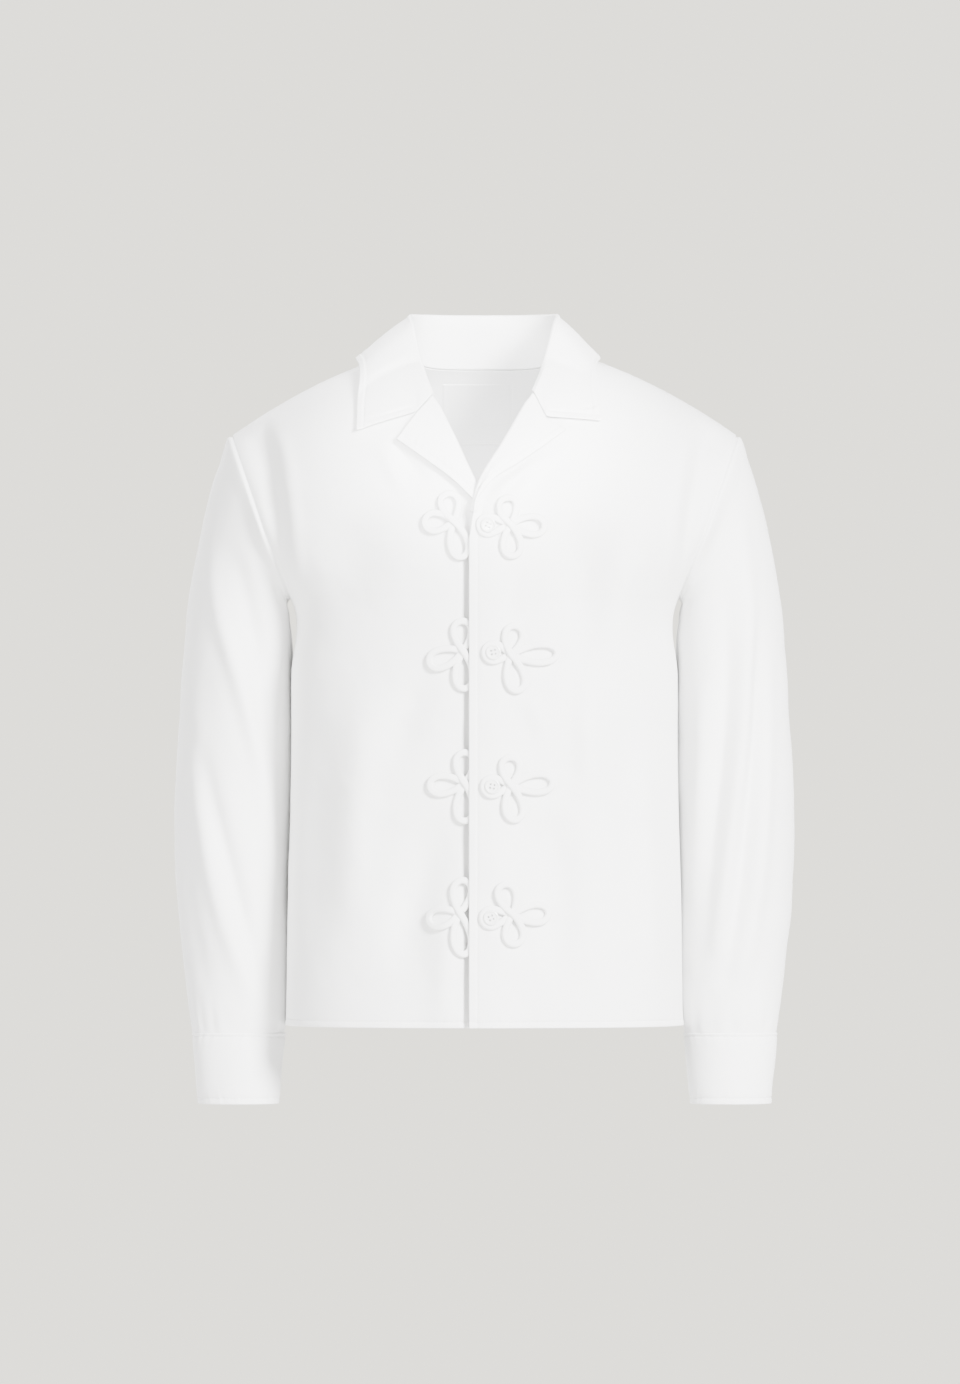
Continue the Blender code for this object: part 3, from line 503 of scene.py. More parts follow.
def wall(name, grid, half, finish, closed=False):
    """A closed wall with rounded edges round a grid of points on its middle surface."""
    rows, columns = grid.shape[:2]
    n = facing(grid, closed)
    half = np.broadcast_to(half, (rows, columns))
    count = rows * columns
    index = np.arange(count).reshape(rows, columns)
    points = [(grid + n * half[..., None]).reshape(-1, 3), (grid - n * half[..., None]).reshape(-1, 3)]
    along = across_gap(np.concatenate([grid, grid[:, :1]], axis=1) if closed else grid)
    up = across_gap(grid, axis=0).mean(axis=1, keepdims=True) * np.ones_like(along)
    uv = np.stack([along - along[:, -1:] / 2, up], axis=-1)
    uv_index = np.arange(up.size).reshape(up.shape)
    flat_uv = uv.reshape(-1, 2)
    outer, outer_uv = quads(index, closed), flat_uv[quads(uv_index, False)]
    faces = [outer, (outer + count)[:, ::-1]]
    uvs = [outer_uv, outer_uv[:, ::-1]]
    mid, normal, thick = grid.reshape(-1, 3), n.reshape(-1, 3), half.reshape(-1)
    used = 2 * count
    for loop in edge_loops(index, closed):
        place = mid[loop]
        run = np.roll(place, -1, axis=0) - np.roll(place, 1, axis=0)
        out = unit(np.cross(run, normal[loop]))
        reach = thick[loop][:, None]
        rings = [loop]
        for a in map(math.radians, (45, 90, 135)):
            points.append(place + out * reach * 0.8 * math.sin(a) + normal[loop] * reach * math.cos(a))
            rings.append(np.arange(used, used + len(loop)))
            used += len(loop)
        rings.append(loop + count)
        here = flat_uv[uv_index[:, :columns].reshape(-1)[loop]]
        ahead = np.roll(here, -1, axis=0)
        for a, b in zip(rings[:-1], rings[1:]):
            faces.append(np.stack([np.roll(a, -1), a, b, np.roll(b, -1)], axis=-1))
            uvs.append(np.stack([ahead, here, here, ahead], axis=1))
    return solid(name, np.concatenate(points), np.concatenate(faces), finish, np.concatenate(uvs))


def placed(name, data):
    """An object with this data, in the scene."""
    o = bpy.data.objects.new(name, data)
    bpy.context.scene.collection.objects.link(o)
    return o


def solid(name, points, faces, finish, uvs):
    """An object from points and four-sided faces, smooth all over."""
    mesh = bpy.data.meshes.new(name)
    mesh.from_pydata(points.tolist(), [], faces.tolist())
    mesh.uv_layers.new(name="threads").data.foreach_set("uv", np.asarray(uvs, float).reshape(-1))
    mesh.validate()
    mesh.shade_smooth()
    mesh.materials.append(finish)
    return placed(name, mesh)


def turn_outwards(mesh):
    """Makes the faces of closed shapes point outwards."""
    bm = bmesh.new()
    bm.from_mesh(mesh)
    bmesh.ops.recalc_face_normals(bm, faces=bm.faces)
    bm.to_mesh(mesh)
    bm.free()


def applied(o):
    """An object's mesh with its modifiers applied. The object itself is removed."""
    shape = bpy.data.meshes.new_from_object(o.evaluated_get(bpy.context.evaluated_depsgraph_get()))
    bpy.data.objects.remove(o, do_unlink=True)
    return shape


# ---- materials ----


def new_group(name, inputs, outputs):
    """A shader group, with the sockets that it takes from and gives to."""
    group = bpy.data.node_groups.new(name, "ShaderNodeTree")
    for label, kind, value in inputs:
        socket = group.interface.new_socket(label, in_out="INPUT", socket_type=kind)
        if value is not None:
            socket.default_value = value
    for label in outputs:
        group.interface.new_socket(label, in_out="OUTPUT", socket_type="NodeSocketFloat")
    return group, group.nodes.new("NodeGroupInput").outputs, group.nodes.new("NodeGroupOutput").inputs


def node(tree, kind, sockets=(), **settings):
    """A node with these settings, whose sockets take a value or another node's output."""
    made = tree.nodes.new(kind)
    for setting, value in settings.items():
        setattr(made, setting, value)
    for socket, value in dict(sockets).items():
        if isinstance(value, bpy.types.NodeSocket):
            tree.links.new(value, made.inputs[socket])
        else:
            made.inputs[socket].default_value = value
    return made


def math_node(tree, operation, *values):
    return node(tree, "ShaderNodeMath", enumerate(values), operation=operation).outputs[0]


def scaled(tree, value, times, plus):
    return math_node(tree, "ADD", math_node(tree, "MULTIPLY", value, times), plus)


def noise_node(tree, place, scale, detail, rough=0.55):
    sockets = {"Vector": place, "Scale": scale, "Detail": detail, "Roughness": rough}
    return node(tree, "ShaderNodeTexNoise", sockets).outputs["Fac"]


def weave_with_painted_shade():
    """Over-and-under threads of a plain weave, with slubs: a height, and a painted shade near 1, darker where
    threads dip under and lighter on raised threads and slubs.
    """
    tree, given, result = new_group("weave_with_painted_shade", [
        ("Threads", "NodeSocketVector", None), ("Per Metre", "NodeSocketFloat", 2200.0),
        ("Slub", "NodeSocketFloat", 0.5)], ["Height", "Painted Shade"])
    threads = given["Threads"]
    counted = node(tree, "ShaderNodeVectorMath", {0: threads, "Scale": given["Per Metre"]}, operation="SCALE")
    split = node(tree, "ShaderNodeSeparateXYZ", {0: counted.outputs[0]}).outputs
    warp, weft = (math_node(tree, "SINE", math_node(tree, "MULTIPLY", split[way], math.pi)) for way in "XY")
    slubs = []
    for stretch in ((260, 18, 1), (18, 260, 1)):
        drawn = node(tree, "ShaderNodeMapping", {"Vector": threads, "Scale": stretch})
        slubs.append(noise_node(tree, drawn.outputs[0], 1.0, 2.0))
    slubs = math_node(tree, "SUBTRACT", math_node(tree, "ADD", *slubs), 1.0)
    slubs = math_node(tree, "MULTIPLY", slubs, given["Slub"])
    height = scaled(tree, math_node(tree, "MULTIPLY", warp, weft), 0.5, slubs)
    tree.links.new(height, result["Height"])
    # Painted shade: by thread height, the colour is darkened a little where threads dip under and lightened on
    # raised crossings and slubs
    tree.links.new(scaled(tree, height, 0.03, 1.0), result["Painted Shade"])
    return tree


def soft_wear():
    """Slow changes over a piece: a mask for tone, and one for crumples and roughness."""
    tree, given, result = new_group(
        "soft_wear",
        [("Place", "NodeSocketVector", None), ("Size", "NodeSocketFloat", 12.0)],
        ["Mask", "Crumple"])
    tree.links.new(noise_node(tree, given["Place"], given["Size"], 4.0, 0.6), result["Mask"])
    finer = math_node(tree, "MULTIPLY", given["Size"], 7.0)
    tree.links.new(noise_node(tree, given["Place"], finer, 3.0, 0.5), result["Crumple"])
    return tree


def new_finish(name, wear, size, light, shade, rough, drift):
    """Starts a finish that drifts between two tones and a little in roughness."""
    m = bpy.data.materials.new(name)
    m.use_nodes = True
    tree = m.node_tree
    surface = tree.nodes["Principled BSDF"].inputs
    place = node(tree, "ShaderNodeTexCoord").outputs["Object"]
    worn = node(tree, "ShaderNodeGroup", {"Size": size, "Place": place}, node_tree=wear).outputs
    tones = {"Factor": worn["Mask"], "A": shade, "B": light}
    tone = node(tree, "ShaderNodeMix", tones, data_type="RGBA").outputs["Result"]
    tree.links.new(tone, surface["Base Color"])
    tree.links.new(scaled(tree, worn["Crumple"], drift, rough), surface["Roughness"])
    return m, tree, surface, place, worn, tone


def raised(tree, height, distance, strength=1.0, under=None):
    """A bump in metres, over another one if there is one."""
    sockets = {"Strength": strength, "Distance": distance, "Height": height}
    if under:
        sockets["Normal"] = under
    return node(tree, "ShaderNodeBump", sockets).outputs["Normal"]


def fabric(name, weave, wear, per_metre, slub, rough, height, crumple, sheen, turn=0.0):
    """A woven finish whose threads follow the piece's own grain, its colour painted darker in the hollows of
    the weave and lighter on its raised threads.
    """
    m, tree, surface, _, worn, tone = new_finish(name, wear, 9.0, WHITE, OFF_WHITE, rough - 0.06, 0.12)
    threads = node(tree, "ShaderNodeUVMap", uv_map="threads").outputs["UV"]
    grain = node(tree, "ShaderNodeMapping", {"Vector": threads, "Rotation": (0, 0, turn)}).outputs[0]
    sockets = {"Threads": grain, "Per Metre": per_metre, "Slub": slub}
    woven = node(tree, "ShaderNodeGroup", sockets, node_tree=weave).outputs
    # The base colour is multiplied by the weave's painted shade, darker in the hollows between threads and
    # lighter on their tops
    tone_with_weave_shade = node(tree, "ShaderNodeVectorMath", {0: tone, "Scale": woven["Painted Shade"]}, operation="SCALE")
    tree.links.new(tone_with_weave_shade.outputs[0], surface["Base Color"])
    creased = raised(tree, worn["Crumple"], crumple)
    tree.links.new(raised(tree, woven["Height"], height, under=creased), surface["Normal"])
    surface["Specular IOR Level"].default_value = 0.35
    surface["Sheen Weight"].default_value = sheen
    surface["Sheen Roughness"].default_value = 0.4
    return m


def resin(name, wear):
    """Polished button resin, faintly clouded."""
    m, _, surface, *_ = new_finish(name, wear, 130.0, RESIN, RESIN_SHADE, 0.20, 0.16)
    surface["Coat Weight"].default_value = 0.3
    surface["Coat Roughness"].default_value = 0.15
    return m


def spun(name, wear):
    """Sewing thread: slanting ridges of its twist, and fibres that catch the light unevenly."""
    m, tree, surface, place, *_ = new_finish(name, wear, 260.0, WHITE, THREAD_SHADE, 0.62, 0.16)
    wave = {"Vector": place, "Scale": 520.0, "Distortion": 1.5, "Detail": 2.0}
    twist = node(tree, "ShaderNodeTexWave", wave, bands_direction="DIAGONAL").outputs["Fac"]
    tree.links.new(raised(tree, twist, 0.00006, 0.8), surface["Normal"])
    surface["Sheen Weight"].default_value = 0.15
    return m


def plain(name, colour, rough):
    m = bpy.data.materials.new(name)
    m.use_nodes = True
    surface = m.node_tree.nodes["Principled BSDF"].inputs
    surface["Base Color"].default_value = colour
    surface["Roughness"].default_value = rough
    return m


# ---- body ----


def rows_up(edge_in, edge_out, top, columns):
    """Rows of (x, z) between an inner and an outer edge, whose upper rows take the shape of the top."""
    def between(a, b):
        return a[0] + (b[0] - a[0]) * columns, a[1] + (b[1] - a[1]) * columns

    top_x, chord = between(edge_in[-1], edge_out[-1])
    rows = []
    for i, ends in enumerate(zip(edge_in, edge_out)):
        x, z = between(*ends)
        share = (i / (len(edge_in) - 1)) ** 2
        rows.append(np.stack([x, z + share * (top(top_x) - chord)], axis=1))
    return rows


def front_edge(hand, count):
    """A front's edge from underarm level up: the lap's edge, the crest, and the neck."""
    line = crest(hand, np.linspace(0, 1, 121))
    line = (line - CREST * towards_neck(line))[::-1]
    lap_x = -hand * LAP
    foot = [(lap_x, UNDERARM_Z), (lap_x, UNDERARM_Z + (line[0, 1] - UNDERARM_Z) * 0.7)]
    rise = np.concatenate([foot, line[::8], neckline(hand, np.linspace(0, 1, 9))[1:]])
    return evenly(rise, count - 1)


def evenly(line, parts):
    """The line's points moved to divide it into equal parts."""
    along = distances(line)
    even = np.linspace(0, along[-1], parts + 1)
    return np.stack([np.interp(even, along, line[:, k]) for k in range(line.shape[1])], axis=1)


def armhole_edge(hand, count):
    z = UNDERARM_Z + (SHOULDER_Z - UNDERARM_Z) * np.sin(np.linspace(0, math.pi / 2, count))
    return np.stack([hand * profile(ARMHOLE, z), z], axis=1)


def across_front(width, step, tuck):
    """Shares of the way from the front edge to the side, fine at the edge and the tuck."""
    near = finely(width * 0.62, step, stitches=[PLACKET_STITCH, tuck])[:-4] / width
    last = near[-1]
    turn = np.linspace(0, math.pi / 2, 34)[1:]
    return np.concatenate([near, last + (1 - last) * np.sin(turn)])


def make_front(hand, finish, step=0.0042, high=62):
    """A front, with its hem and the turned edge that the frogs sit on."""
    columns = across_front(HALF_WIDTH[0][1] + LAP, step, 2 * LAP + TUCK_OUT)
    low = []
    for rise in finely(UNDERARM_Z - HEM_Z, step * 1.4, stitches=[HEM_STITCH])[:-1]:
        z = HEM_Z + rise
        x = -hand * LAP + hand * (profile(HALF_WIDTH, z) + LAP) * columns
        low.append(np.stack([x, np.full(len(columns), z)], axis=1))
    rows = np.array(low + rows_up(front_edge(hand, high), armhole_edge(hand, high), ridge, columns))
    grid = front_point(rows[..., 0], rows[..., 1], hand)
    from_edge, from_hem = across_gap(grid), across_gap(grid, axis=0)
    past_edge, past_hem = from_edge - PLACKET_STITCH, from_hem - HEM_STITCH
    x, z = grid[..., 0], grid[..., 2]
    below_break = 1 - ease(BREAK[hand][1] - 0.004, BREAK[hand][1] + 0.012, z)
    half, placket = turned_edge(from_hem, HEM_STITCH), turned_edge(from_edge, PLACKET_STITCH)
    half = np.where(half > PLY / 2 + 1e-6, half, PLY / 2)
    half = np.maximum(half, PLY / 2 + (placket - PLY / 2) * below_break)
    half = half * np.minimum(placket / (PLY / 2) + (1 - below_break), 1)
    half = half * (1 - 0.4 * bump(past_edge, GROOVE) * below_break) * (1 - 0.4 * bump(past_hem, GROOVE))
    move = puckers(past_hem, x, 11 + hand) + puckers(past_edge, z, 14 + hand) * below_break
    move = move + 0.00030 * waves(21 + hand, 0.060, x, z) + 0.00012 * waves(31 + hand, 0.022, x, z)
    away = ease(0.0, EDGE_FADE, across_gap(grid, True)) * ease(0.0, EDGE_FADE, across_gap(grid, True, 0))
    grid = grid + outward(grid, (0, -1, 0)) * (move * away)[..., None]
    if hand == RIGHT:
        grid[..., 1] += TUCK_DEEP * bump(x + LAP + TUCK_OUT, TUCK_WIDE) * below_break
    return wall(f"cloth_front_{SIDE[hand]}", grid, half, finish), grid


def armhole_at_yoke():
    """X where the yoke seam meets the armhole."""
    x = SHOULDER_X
    for _ in range(20):
        x = float(profile(ARMHOLE, yoke_seam_z(x)))
    return x


def make_back(finish, columns=64, step=0.0058):
    """The back, from its hem up to the yoke seam."""
    side = np.sin(np.linspace(-math.pi / 2, math.pi / 2, 2 * columns + 1))
    rows = []
    for rise in finely(UNDERARM_Z - HEM_Z, step, stitches=[HEM_STITCH])[:-1]:
        z = HEM_Z + rise
        rows.append(np.stack([profile(HALF_WIDTH, z) * side, np.full(len(side), z)], axis=1))
    top_x = armhole_at_yoke()
    high = yoke_seam_z(top_x) - SEAM / 2 - UNDERARM_Z
    for rise in finely(high, step, far_stitches=[SEAM_STITCH]):
        z = UNDERARM_Z + rise
        x = profile(ARMHOLE, z) * side
        rows.append(np.stack([x, z + rise / high * (yoke_seam_z(x) - yoke_seam_z(top_x))], axis=1))
    rows = np.array(rows)
    grid = back_point(rows[..., 0], rows[..., 1])
    past_hem, from_yoke = across_gap(grid, axis=0) - HEM_STITCH, across_gap(grid, True, 0)
    x, z = grid[..., 0], grid[..., 2]
    half = turned_edge(past_hem + HEM_STITCH, HEM_STITCH) * (1 - 0.35 * bump(from_yoke - SEAM_STITCH, GROOVE))
    move = puckers(past_hem, x, 41) + puckers(from_yoke, x, 42)
    move = move + 0.00035 * waves(43, 0.060, x, z) + 0.00012 * waves(44, 0.022, x, z)
    away = ease(0.0, EDGE_FADE, across_gap(grid)) * ease(0.0, EDGE_FADE, across_gap(grid, True))
    grid = grid + outward(grid, (0, 1, 0)) * (move * away)[..., None]
    return wall("cloth_back", grid, half, finish), grid


def make_yoke(finish, high_rows=34):
    """The yoke, from its seam up to the shoulder seams and the back neck."""
    neck = NECK_X * np.sin(np.linspace(0, math.pi / 2, 26))
    seam_end = yoke_seam_z(armhole_at_yoke())
    length = SHOULDER_Z - seam_end - SEAM / 2
    near_seam = finely(0.02, 0.004, stitches=[SEAM_STITCH]) / 0.10
    rows = []
    for t in np.unique(np.concatenate([near_seam, np.sin(np.linspace(0.2, math.pi / 2, high_rows))])):
        out = profile(ARMHOLE, seam_end + SEAM / 2 + length * t)
        shoulder = NECK_X + (out - NECK_X) * np.sin(np.linspace(0, math.pi / 2, 34))[1:]
        half_row = np.concatenate([neck, shoulder])
        top = np.where(half_row < NECK_X - 1e-6, back_neck_z(half_row), ridge(half_row))
        low = yoke_seam_z(half_row) + SEAM / 2
        z = low + (top - low) * t
        x = np.concatenate([-half_row[:0:-1], half_row])
        rows.append(np.stack([x, np.concatenate([z[:0:-1], z])], axis=1))
    rows = np.array(rows)
    grid = back_point(rows[..., 0], rows[..., 1])
    from_seam = across_gap(grid, axis=0)
    half = PLY * 0.8 * (1 - 0.3 * bump(from_seam - SEAM_STITCH, GROOVE))
    away = ease(0, EDGE_FADE, across_gap(grid)) * ease(0, EDGE_FADE, across_gap(grid, True))
    move = puckers(from_seam, grid[..., 0], 51) * away
    grid = grid + outward(grid, (0, 1, 0)) * move[..., None]
    return wall("cloth_yoke", grid, half, finish), grid


# ---- sleeves ----


def armhole_ring(hand, angle, tuck, inward):
    """The armhole's loop on the body, drawn in by tuck, and moved into the body by inward."""
    share = (1 + np.cos(angle)) / 2
    z = UNDERARM_Z + (SHOULDER_Z - UNDERARM_Z) * share
    x = profile(ARMHOLE, z)
    front = np.sin(angle) > 0
    y = np.where(front, body_y(x, z, FRONT), body_y(x, z, BACK))
    ring = np.stack([hand * x, y, z], axis=1)
    centre = ring.mean(axis=0)
    return centre + (ring - centre) * (1 - tuck / np.linalg.norm(ring - centre, axis=1, keepdims=True)) - (
        hand * inward, 0, 0)


def plain_ring(outer, inner, half_depth, middle_y, hand, angle):
    """A sleeve section: outer side at angle 0, front at a quarter turn."""
    outer, inner = np.array(outer), np.array(inner)
    centre, reach = (outer + inner) / 2, (outer - inner) / 2
    xz = centre + reach * np.cos(angle)[:, None]
    return np.stack([hand * xz[:, 0], middle_y - half_depth * np.sin(angle), xz[:, 1]], axis=1)


def from_axis(grid):
    """Directions out from a tube's axis at each of its points."""
    return grid - grid.mean(axis=1, keepdims=True)


def make_sleeve(hand, finish, around=132):
    """A sleeve, from the armhole to the gathers at its cuff."""
    angle = np.linspace(0, 2 * math.pi, around, endpoint=False)
    rings = [armhole_ring(hand, angle, PLY * 1.5, 0.0035), armhole_ring(hand, angle, PLY * 0.9, -0.0004)]
    rings = np.array(rings + [plain_ring(*r, hand, angle) for r in SLEEVE_RINGS])
    gaps = distances(rings.mean(axis=1))
    places = finely(gaps[-1], 0.0052, stitches=[gaps[1], gaps[1] + 0.004])
    grid = profile(list(zip(gaps, rings)), places)
    n = outward(grid, from_axis(grid), True)
    side_x, y, z = grid.transpose(2, 0, 1)
    x = np.abs(side_x)
    ones = np.ones(grid.shape[:2])
    turn, around_arm = np.sin(angle) * ones, angle * ones
    from_seam = np.maximum(places - gaps[1], 0)[:, None] * ones
    from_cuff = (places[-1] - places)[:, None] * ones
    fold = np.where(turn > 0, pressed(SLEEVE_FOLDS[hand], x, z), pressed(SLEEVE_BACK_FOLDS, x, z))
    fold = SLEEVE_FOLDING[hand] * fold * turn**2
    fold = fold * ease(0.010, 0.060, from_seam) * ease(0.0, 0.045, from_cuff)
    uneven = 0.6 + 0.4 * waves(61 + hand, 0.9, around_arm, from_cuff * 9)
    gathers = np.sin(around_arm * 15 + 1.3 * waves(63 + hand, 1.6, around_arm)) * uneven
    fold = fold + 0.0009 * gathers * (1 - ease(0.004, 0.048, from_cuff)) * ease(0.0, 0.006, from_cuff)
    fold = fold + 0.0010 * bump(from_seam - 0.0045, 0.0035) * ease(0.0, 0.003, from_seam)
    fold = fold + puckers(from_seam - 0.002, around_arm * 0.07, 65 + hand, 0.00014)
    slow, fine = waves(67 + hand, 0.055, side_x, y, z), waves(69 + hand, 0.020, side_x, y, z)
    fold = fold + (0.00035 * slow + 0.00012 * fine) * ease(0, 0.01, from_seam)
    grid = grid + n * fold[..., None]
    return wall(f"cloth_sleeve_{SIDE[hand]}", grid, PLY / 2, finish, closed=True), grid


def make_cuff(hand, finish, around=132):
    """A cuff, a plain closed ring."""
    angle = np.linspace(0, 2 * math.pi, around, endpoint=False)
    top, foot = (plain_ring(*r, hand, angle) for r in (CUFF_TOP, CUFF_FOOT))
    length = np.linalg.norm(top.mean(axis=0) - foot.mean(axis=0))
    places = finely(length, 0.0040, stitches=[CUFF_SEAM_STITCH], far_stitches=[CUFF_STITCH])
    share = (places / length)[:, None, None]
    grid = top * (1 - share) + foot * share
    ones = np.ones(grid.shape[:2])
    past_top = places[:, None] * ones - CUFF_SEAM_STITCH
    past_foot = (length - places)[:, None] * ones - CUFF_STITCH
    half = HEM_PLY / 2 * (1 - 0.5 * bump(past_foot, GROOVE)) * (1 - 0.45 * bump(past_top, GROOVE))
    around_cuff = angle * 0.04 * ones
    move = puckers(past_foot, around_cuff, 71 + hand, 0.00020)
    move = move + puckers(past_top, around_cuff, 73 + hand, 0.00030)
    move = move + 0.0005 * waves(75 + hand, 0.045, *grid.transpose(2, 0, 1))
    grid = grid + outward(grid, from_axis(grid), True) * move[..., None]
    return wall(f"cloth_cuff_{SIDE[hand]}", grid, half, finish, closed=True), grid


# ---- collar and lapels ----


def make_lapel(hand, finish, rows=60):
    """A front's facing where it turns out, from the crest to the lapel's edge."""
    share = np.linspace(0, 1, rows)
    line = crest(hand, share)
    into = towards_neck(line)
    edge = through([LAPEL_TIP[hand], *LAPEL_EDGE[hand], BREAK[hand]], share**1.15)
    notch = np.array(NOTCH[hand]) + (0, -GORGE_GAP)
    fall = np.unique(np.concatenate([np.linspace(0, 1, 30), [0.005, 0.015, 0.985, 0.995]]))[1:]
    rise = LAPEL_LIFT[hand] + (2 * FOLD - LAPEL_LIFT[hand]) * (1 - ease(0, 0.5, fall))
    grid = []
    for i in range(rows):
        root = line[i] + (0, -GORGE_GAP * (1 - ease(0, 0.12, share[i])))
        start = root - into[i] * (CREST - SEAM)
        turn = root - into[i] * FOLD
        xz, lift = [start, (start + turn) / 2], [0.0, 0.0]
        for a in np.radians(np.linspace(-90, 90, 9)):
            xz.append(turn + into[i] * FOLD * math.cos(a))
            lift.append(FOLD + FOLD * math.sin(a))
        shut = ease(0.90, 1.0, share[i])
        stub = turn + unit(edge[-2] - line[-2]) * FOLD * 1.6
        end = edge[i] * (1 - shut) + stub * shut
        straight = turn + (end - turn) * fall[:, None]
        above = np.linalg.norm(notch - turn)
        knee = above / (above + np.linalg.norm(end - notch))
        bent = np.where(
            (fall < knee)[:, None],
            turn + (notch - turn) * (fall / knee)[:, None],
            notch + (end - notch) * ((fall - knee) / (1 - knee))[:, None])
        keep = (1 - ease(0.0, 0.22, share[i])) ** 1.5
        xz = np.array([*xz, *(straight * (1 - keep) + bent * keep)])
        flat = front_point(xz[:, 0], xz[:, 1], hand)
        flat[:, 1] -= np.array([*lift, *rise])
        grid.append(flat)
    grid = np.array(grid)
    from_edge, along = across_gap(grid, from_end=True), across_gap(grid, axis=0)
    open_part = 1 - ease(0.80, 0.95, share)[:, None]
    past_notch = from_edge < np.linalg.norm(edge[0] - notch) + 0.002
    half = turned_edge(from_edge, LAPEL_STITCH, PLY * 1.3, HEM_PLY)
    half = half * (1 - 0.45 * bump(along - LAPEL_STITCH * 0.9, GROOVE) * past_notch)
    move = puckers(from_edge - LAPEL_STITCH, along, 81 + hand, FIRM_RIPPLE) * open_part
    grid = grid + outward(grid[:, -8:], (0, -1, 0)).mean(axis=(0, 1)) * move[..., None]
    return wall(f"cloth_lapel_{SIDE[hand]}", grid, half, finish), grid


def across_back(knots):
    """A half line's knots with one more past the middle of the back, so that the halves run on."""
    s, (x, y, z) = knots[1]
    return [(-s, (-x, y, z)), *knots]


def collar_lines(hand, s):
    """Neck seam, crest and outer edge of half the collar, from the back at 0 to the gorge at 1."""
    back_part = 0.45
    x = hand * NECK_X * np.sin(np.clip(s / back_part, 0, 1) * math.pi / 2)
    behind = back_point(x, back_neck_z(x))
    t = 1 - np.clip((s - back_part) / (1 - back_part), 0, 1)
    xz = neckline(hand, t)
    before = front_point(xz[:, 0], xz[:, 1], hand)
    seam = np.where((s < back_part)[:, None], behind, before)
    end = front_point(*GORGE[hand], hand) - (0, FOLD, 0)
    wide = abs(GORGE[hand][0]) / GORGE_X
    turn = [
        (0.00, (0.000, 0.062, COLLAR_Z)), (0.20, (0.036, 0.057, COLLAR_Z)), (0.38, (0.062, 0.036, COLLAR_Z)),
        (0.50, (0.0700, 0.012, 0.048)), (0.62, (0.0665, -0.014, 0.039)), (0.75, (0.0600, -0.038, 0.015)),
        (0.87, (0.0535, -0.060, -0.007)), (1.00, (end[0] * hand / wide, end[1], end[2])),
    ]
    turn = profile(across_back(turn), s)
    turn[:, 0] *= hand * (1 + (wide - 1) * ease(0.3, 1.0, s))
    tip_x, tip_z = LEAF_TIP[hand]
    out = LEAF_SIDE[hand]
    edge = [
        (0.00, (0.000, 0.086, -0.016)), (0.20, (0.045, 0.080, -0.014)), (0.38, (out - 0.022, 0.052, -0.006)),
        (0.50, (out + 0.001, 0.008, 0.0065)), (0.62, (out - 0.001, -0.028, 0.0000)),
        (0.75, (out - 0.002, -0.052, -0.013)), (0.87, (out, -0.073, -0.034)),
        (1.00, (abs(tip_x), -0.090, tip_z)),
    ]
    return seam, turn, profile(across_back(edge), s) * (hand, 1, 1)


def keep_outside(p, hand, s, lift):
    """Moves points of the collar out to the body's surface plus lift where they are nearer than that."""
    x, y, z = p.T
    behind = np.maximum(y, body_y(x, z, BACK, lift))
    before = np.minimum(y, body_y(x, z, FRONT, lift) - lap(x, z, hand))
    over_shoulder = 1 - ease(0.02, 0.10, abs(s - 0.5))
    moved = np.where(s < 0.5, behind, before)
    p[:, 1] = moved + (y - moved) * over_shoulder
    p[:, 2] = z + np.maximum(ridge(x) + LEAF_OVER - z, 0) * over_shoulder
    return p


def collar_section(hand, s, seam, turn, edge, falls):
    """Points across the collar: up the stand, over the crest, and down the fall."""
    end_crest = across_gorge(hand)
    blend = ease(0.35, 1.0, s)
    up = unit(np.array([0, 0, 1.0]) * (1 - blend) + np.array([end_crest[0], 0, end_crest[1]]) * blend)
    away = profile([
        (0.00, (0, 1, 0)), (0.25, (hand * 0.45, 0.85, 0)), (0.50, (hand, 0.1, 0.2)),
        (0.75, (hand * 0.75, -0.7, 0)), (1.00, (0, -1, 0)),
    ], s)
    away = unit(away - up * np.dot(away, up))
    pivot = turn - FOLD * up
    low = seam + unit(pivot - FOLD * away - seam) * COLLAR_SEAM
    points = [low + (pivot - FOLD * away - low) * t for t in (0.0, 0.03, 0.1, 0.25, 0.5, 0.75)]
    for a in np.radians(np.linspace(-90, 75, 9)):
        points.append(pivot + FOLD * (math.cos(a) * up + math.sin(a) * away))
    start = pivot + FOLD * away
    notch = np.array([NOTCH[hand][0], turn[1], NOTCH[hand][1]])
    bent = ease(0.75, 1.0, s)
    t = falls[:, None]
    straight = start + (edge - start) * t + away * 0.0048 * t * (1 - t) * (1 - bent)
    past_notch = np.maximum((t - NOTCH_SHARE) / (1 - NOTCH_SHARE), 0)
    corner = start + (notch - start) * np.minimum(t / NOTCH_SHARE, 1) + (edge - notch) * past_notch
    fall = keep_outside(straight * (1 - bent) + corner * bent, hand, s, LEAF_LIFT)
    return np.concatenate([np.array(points), fall])


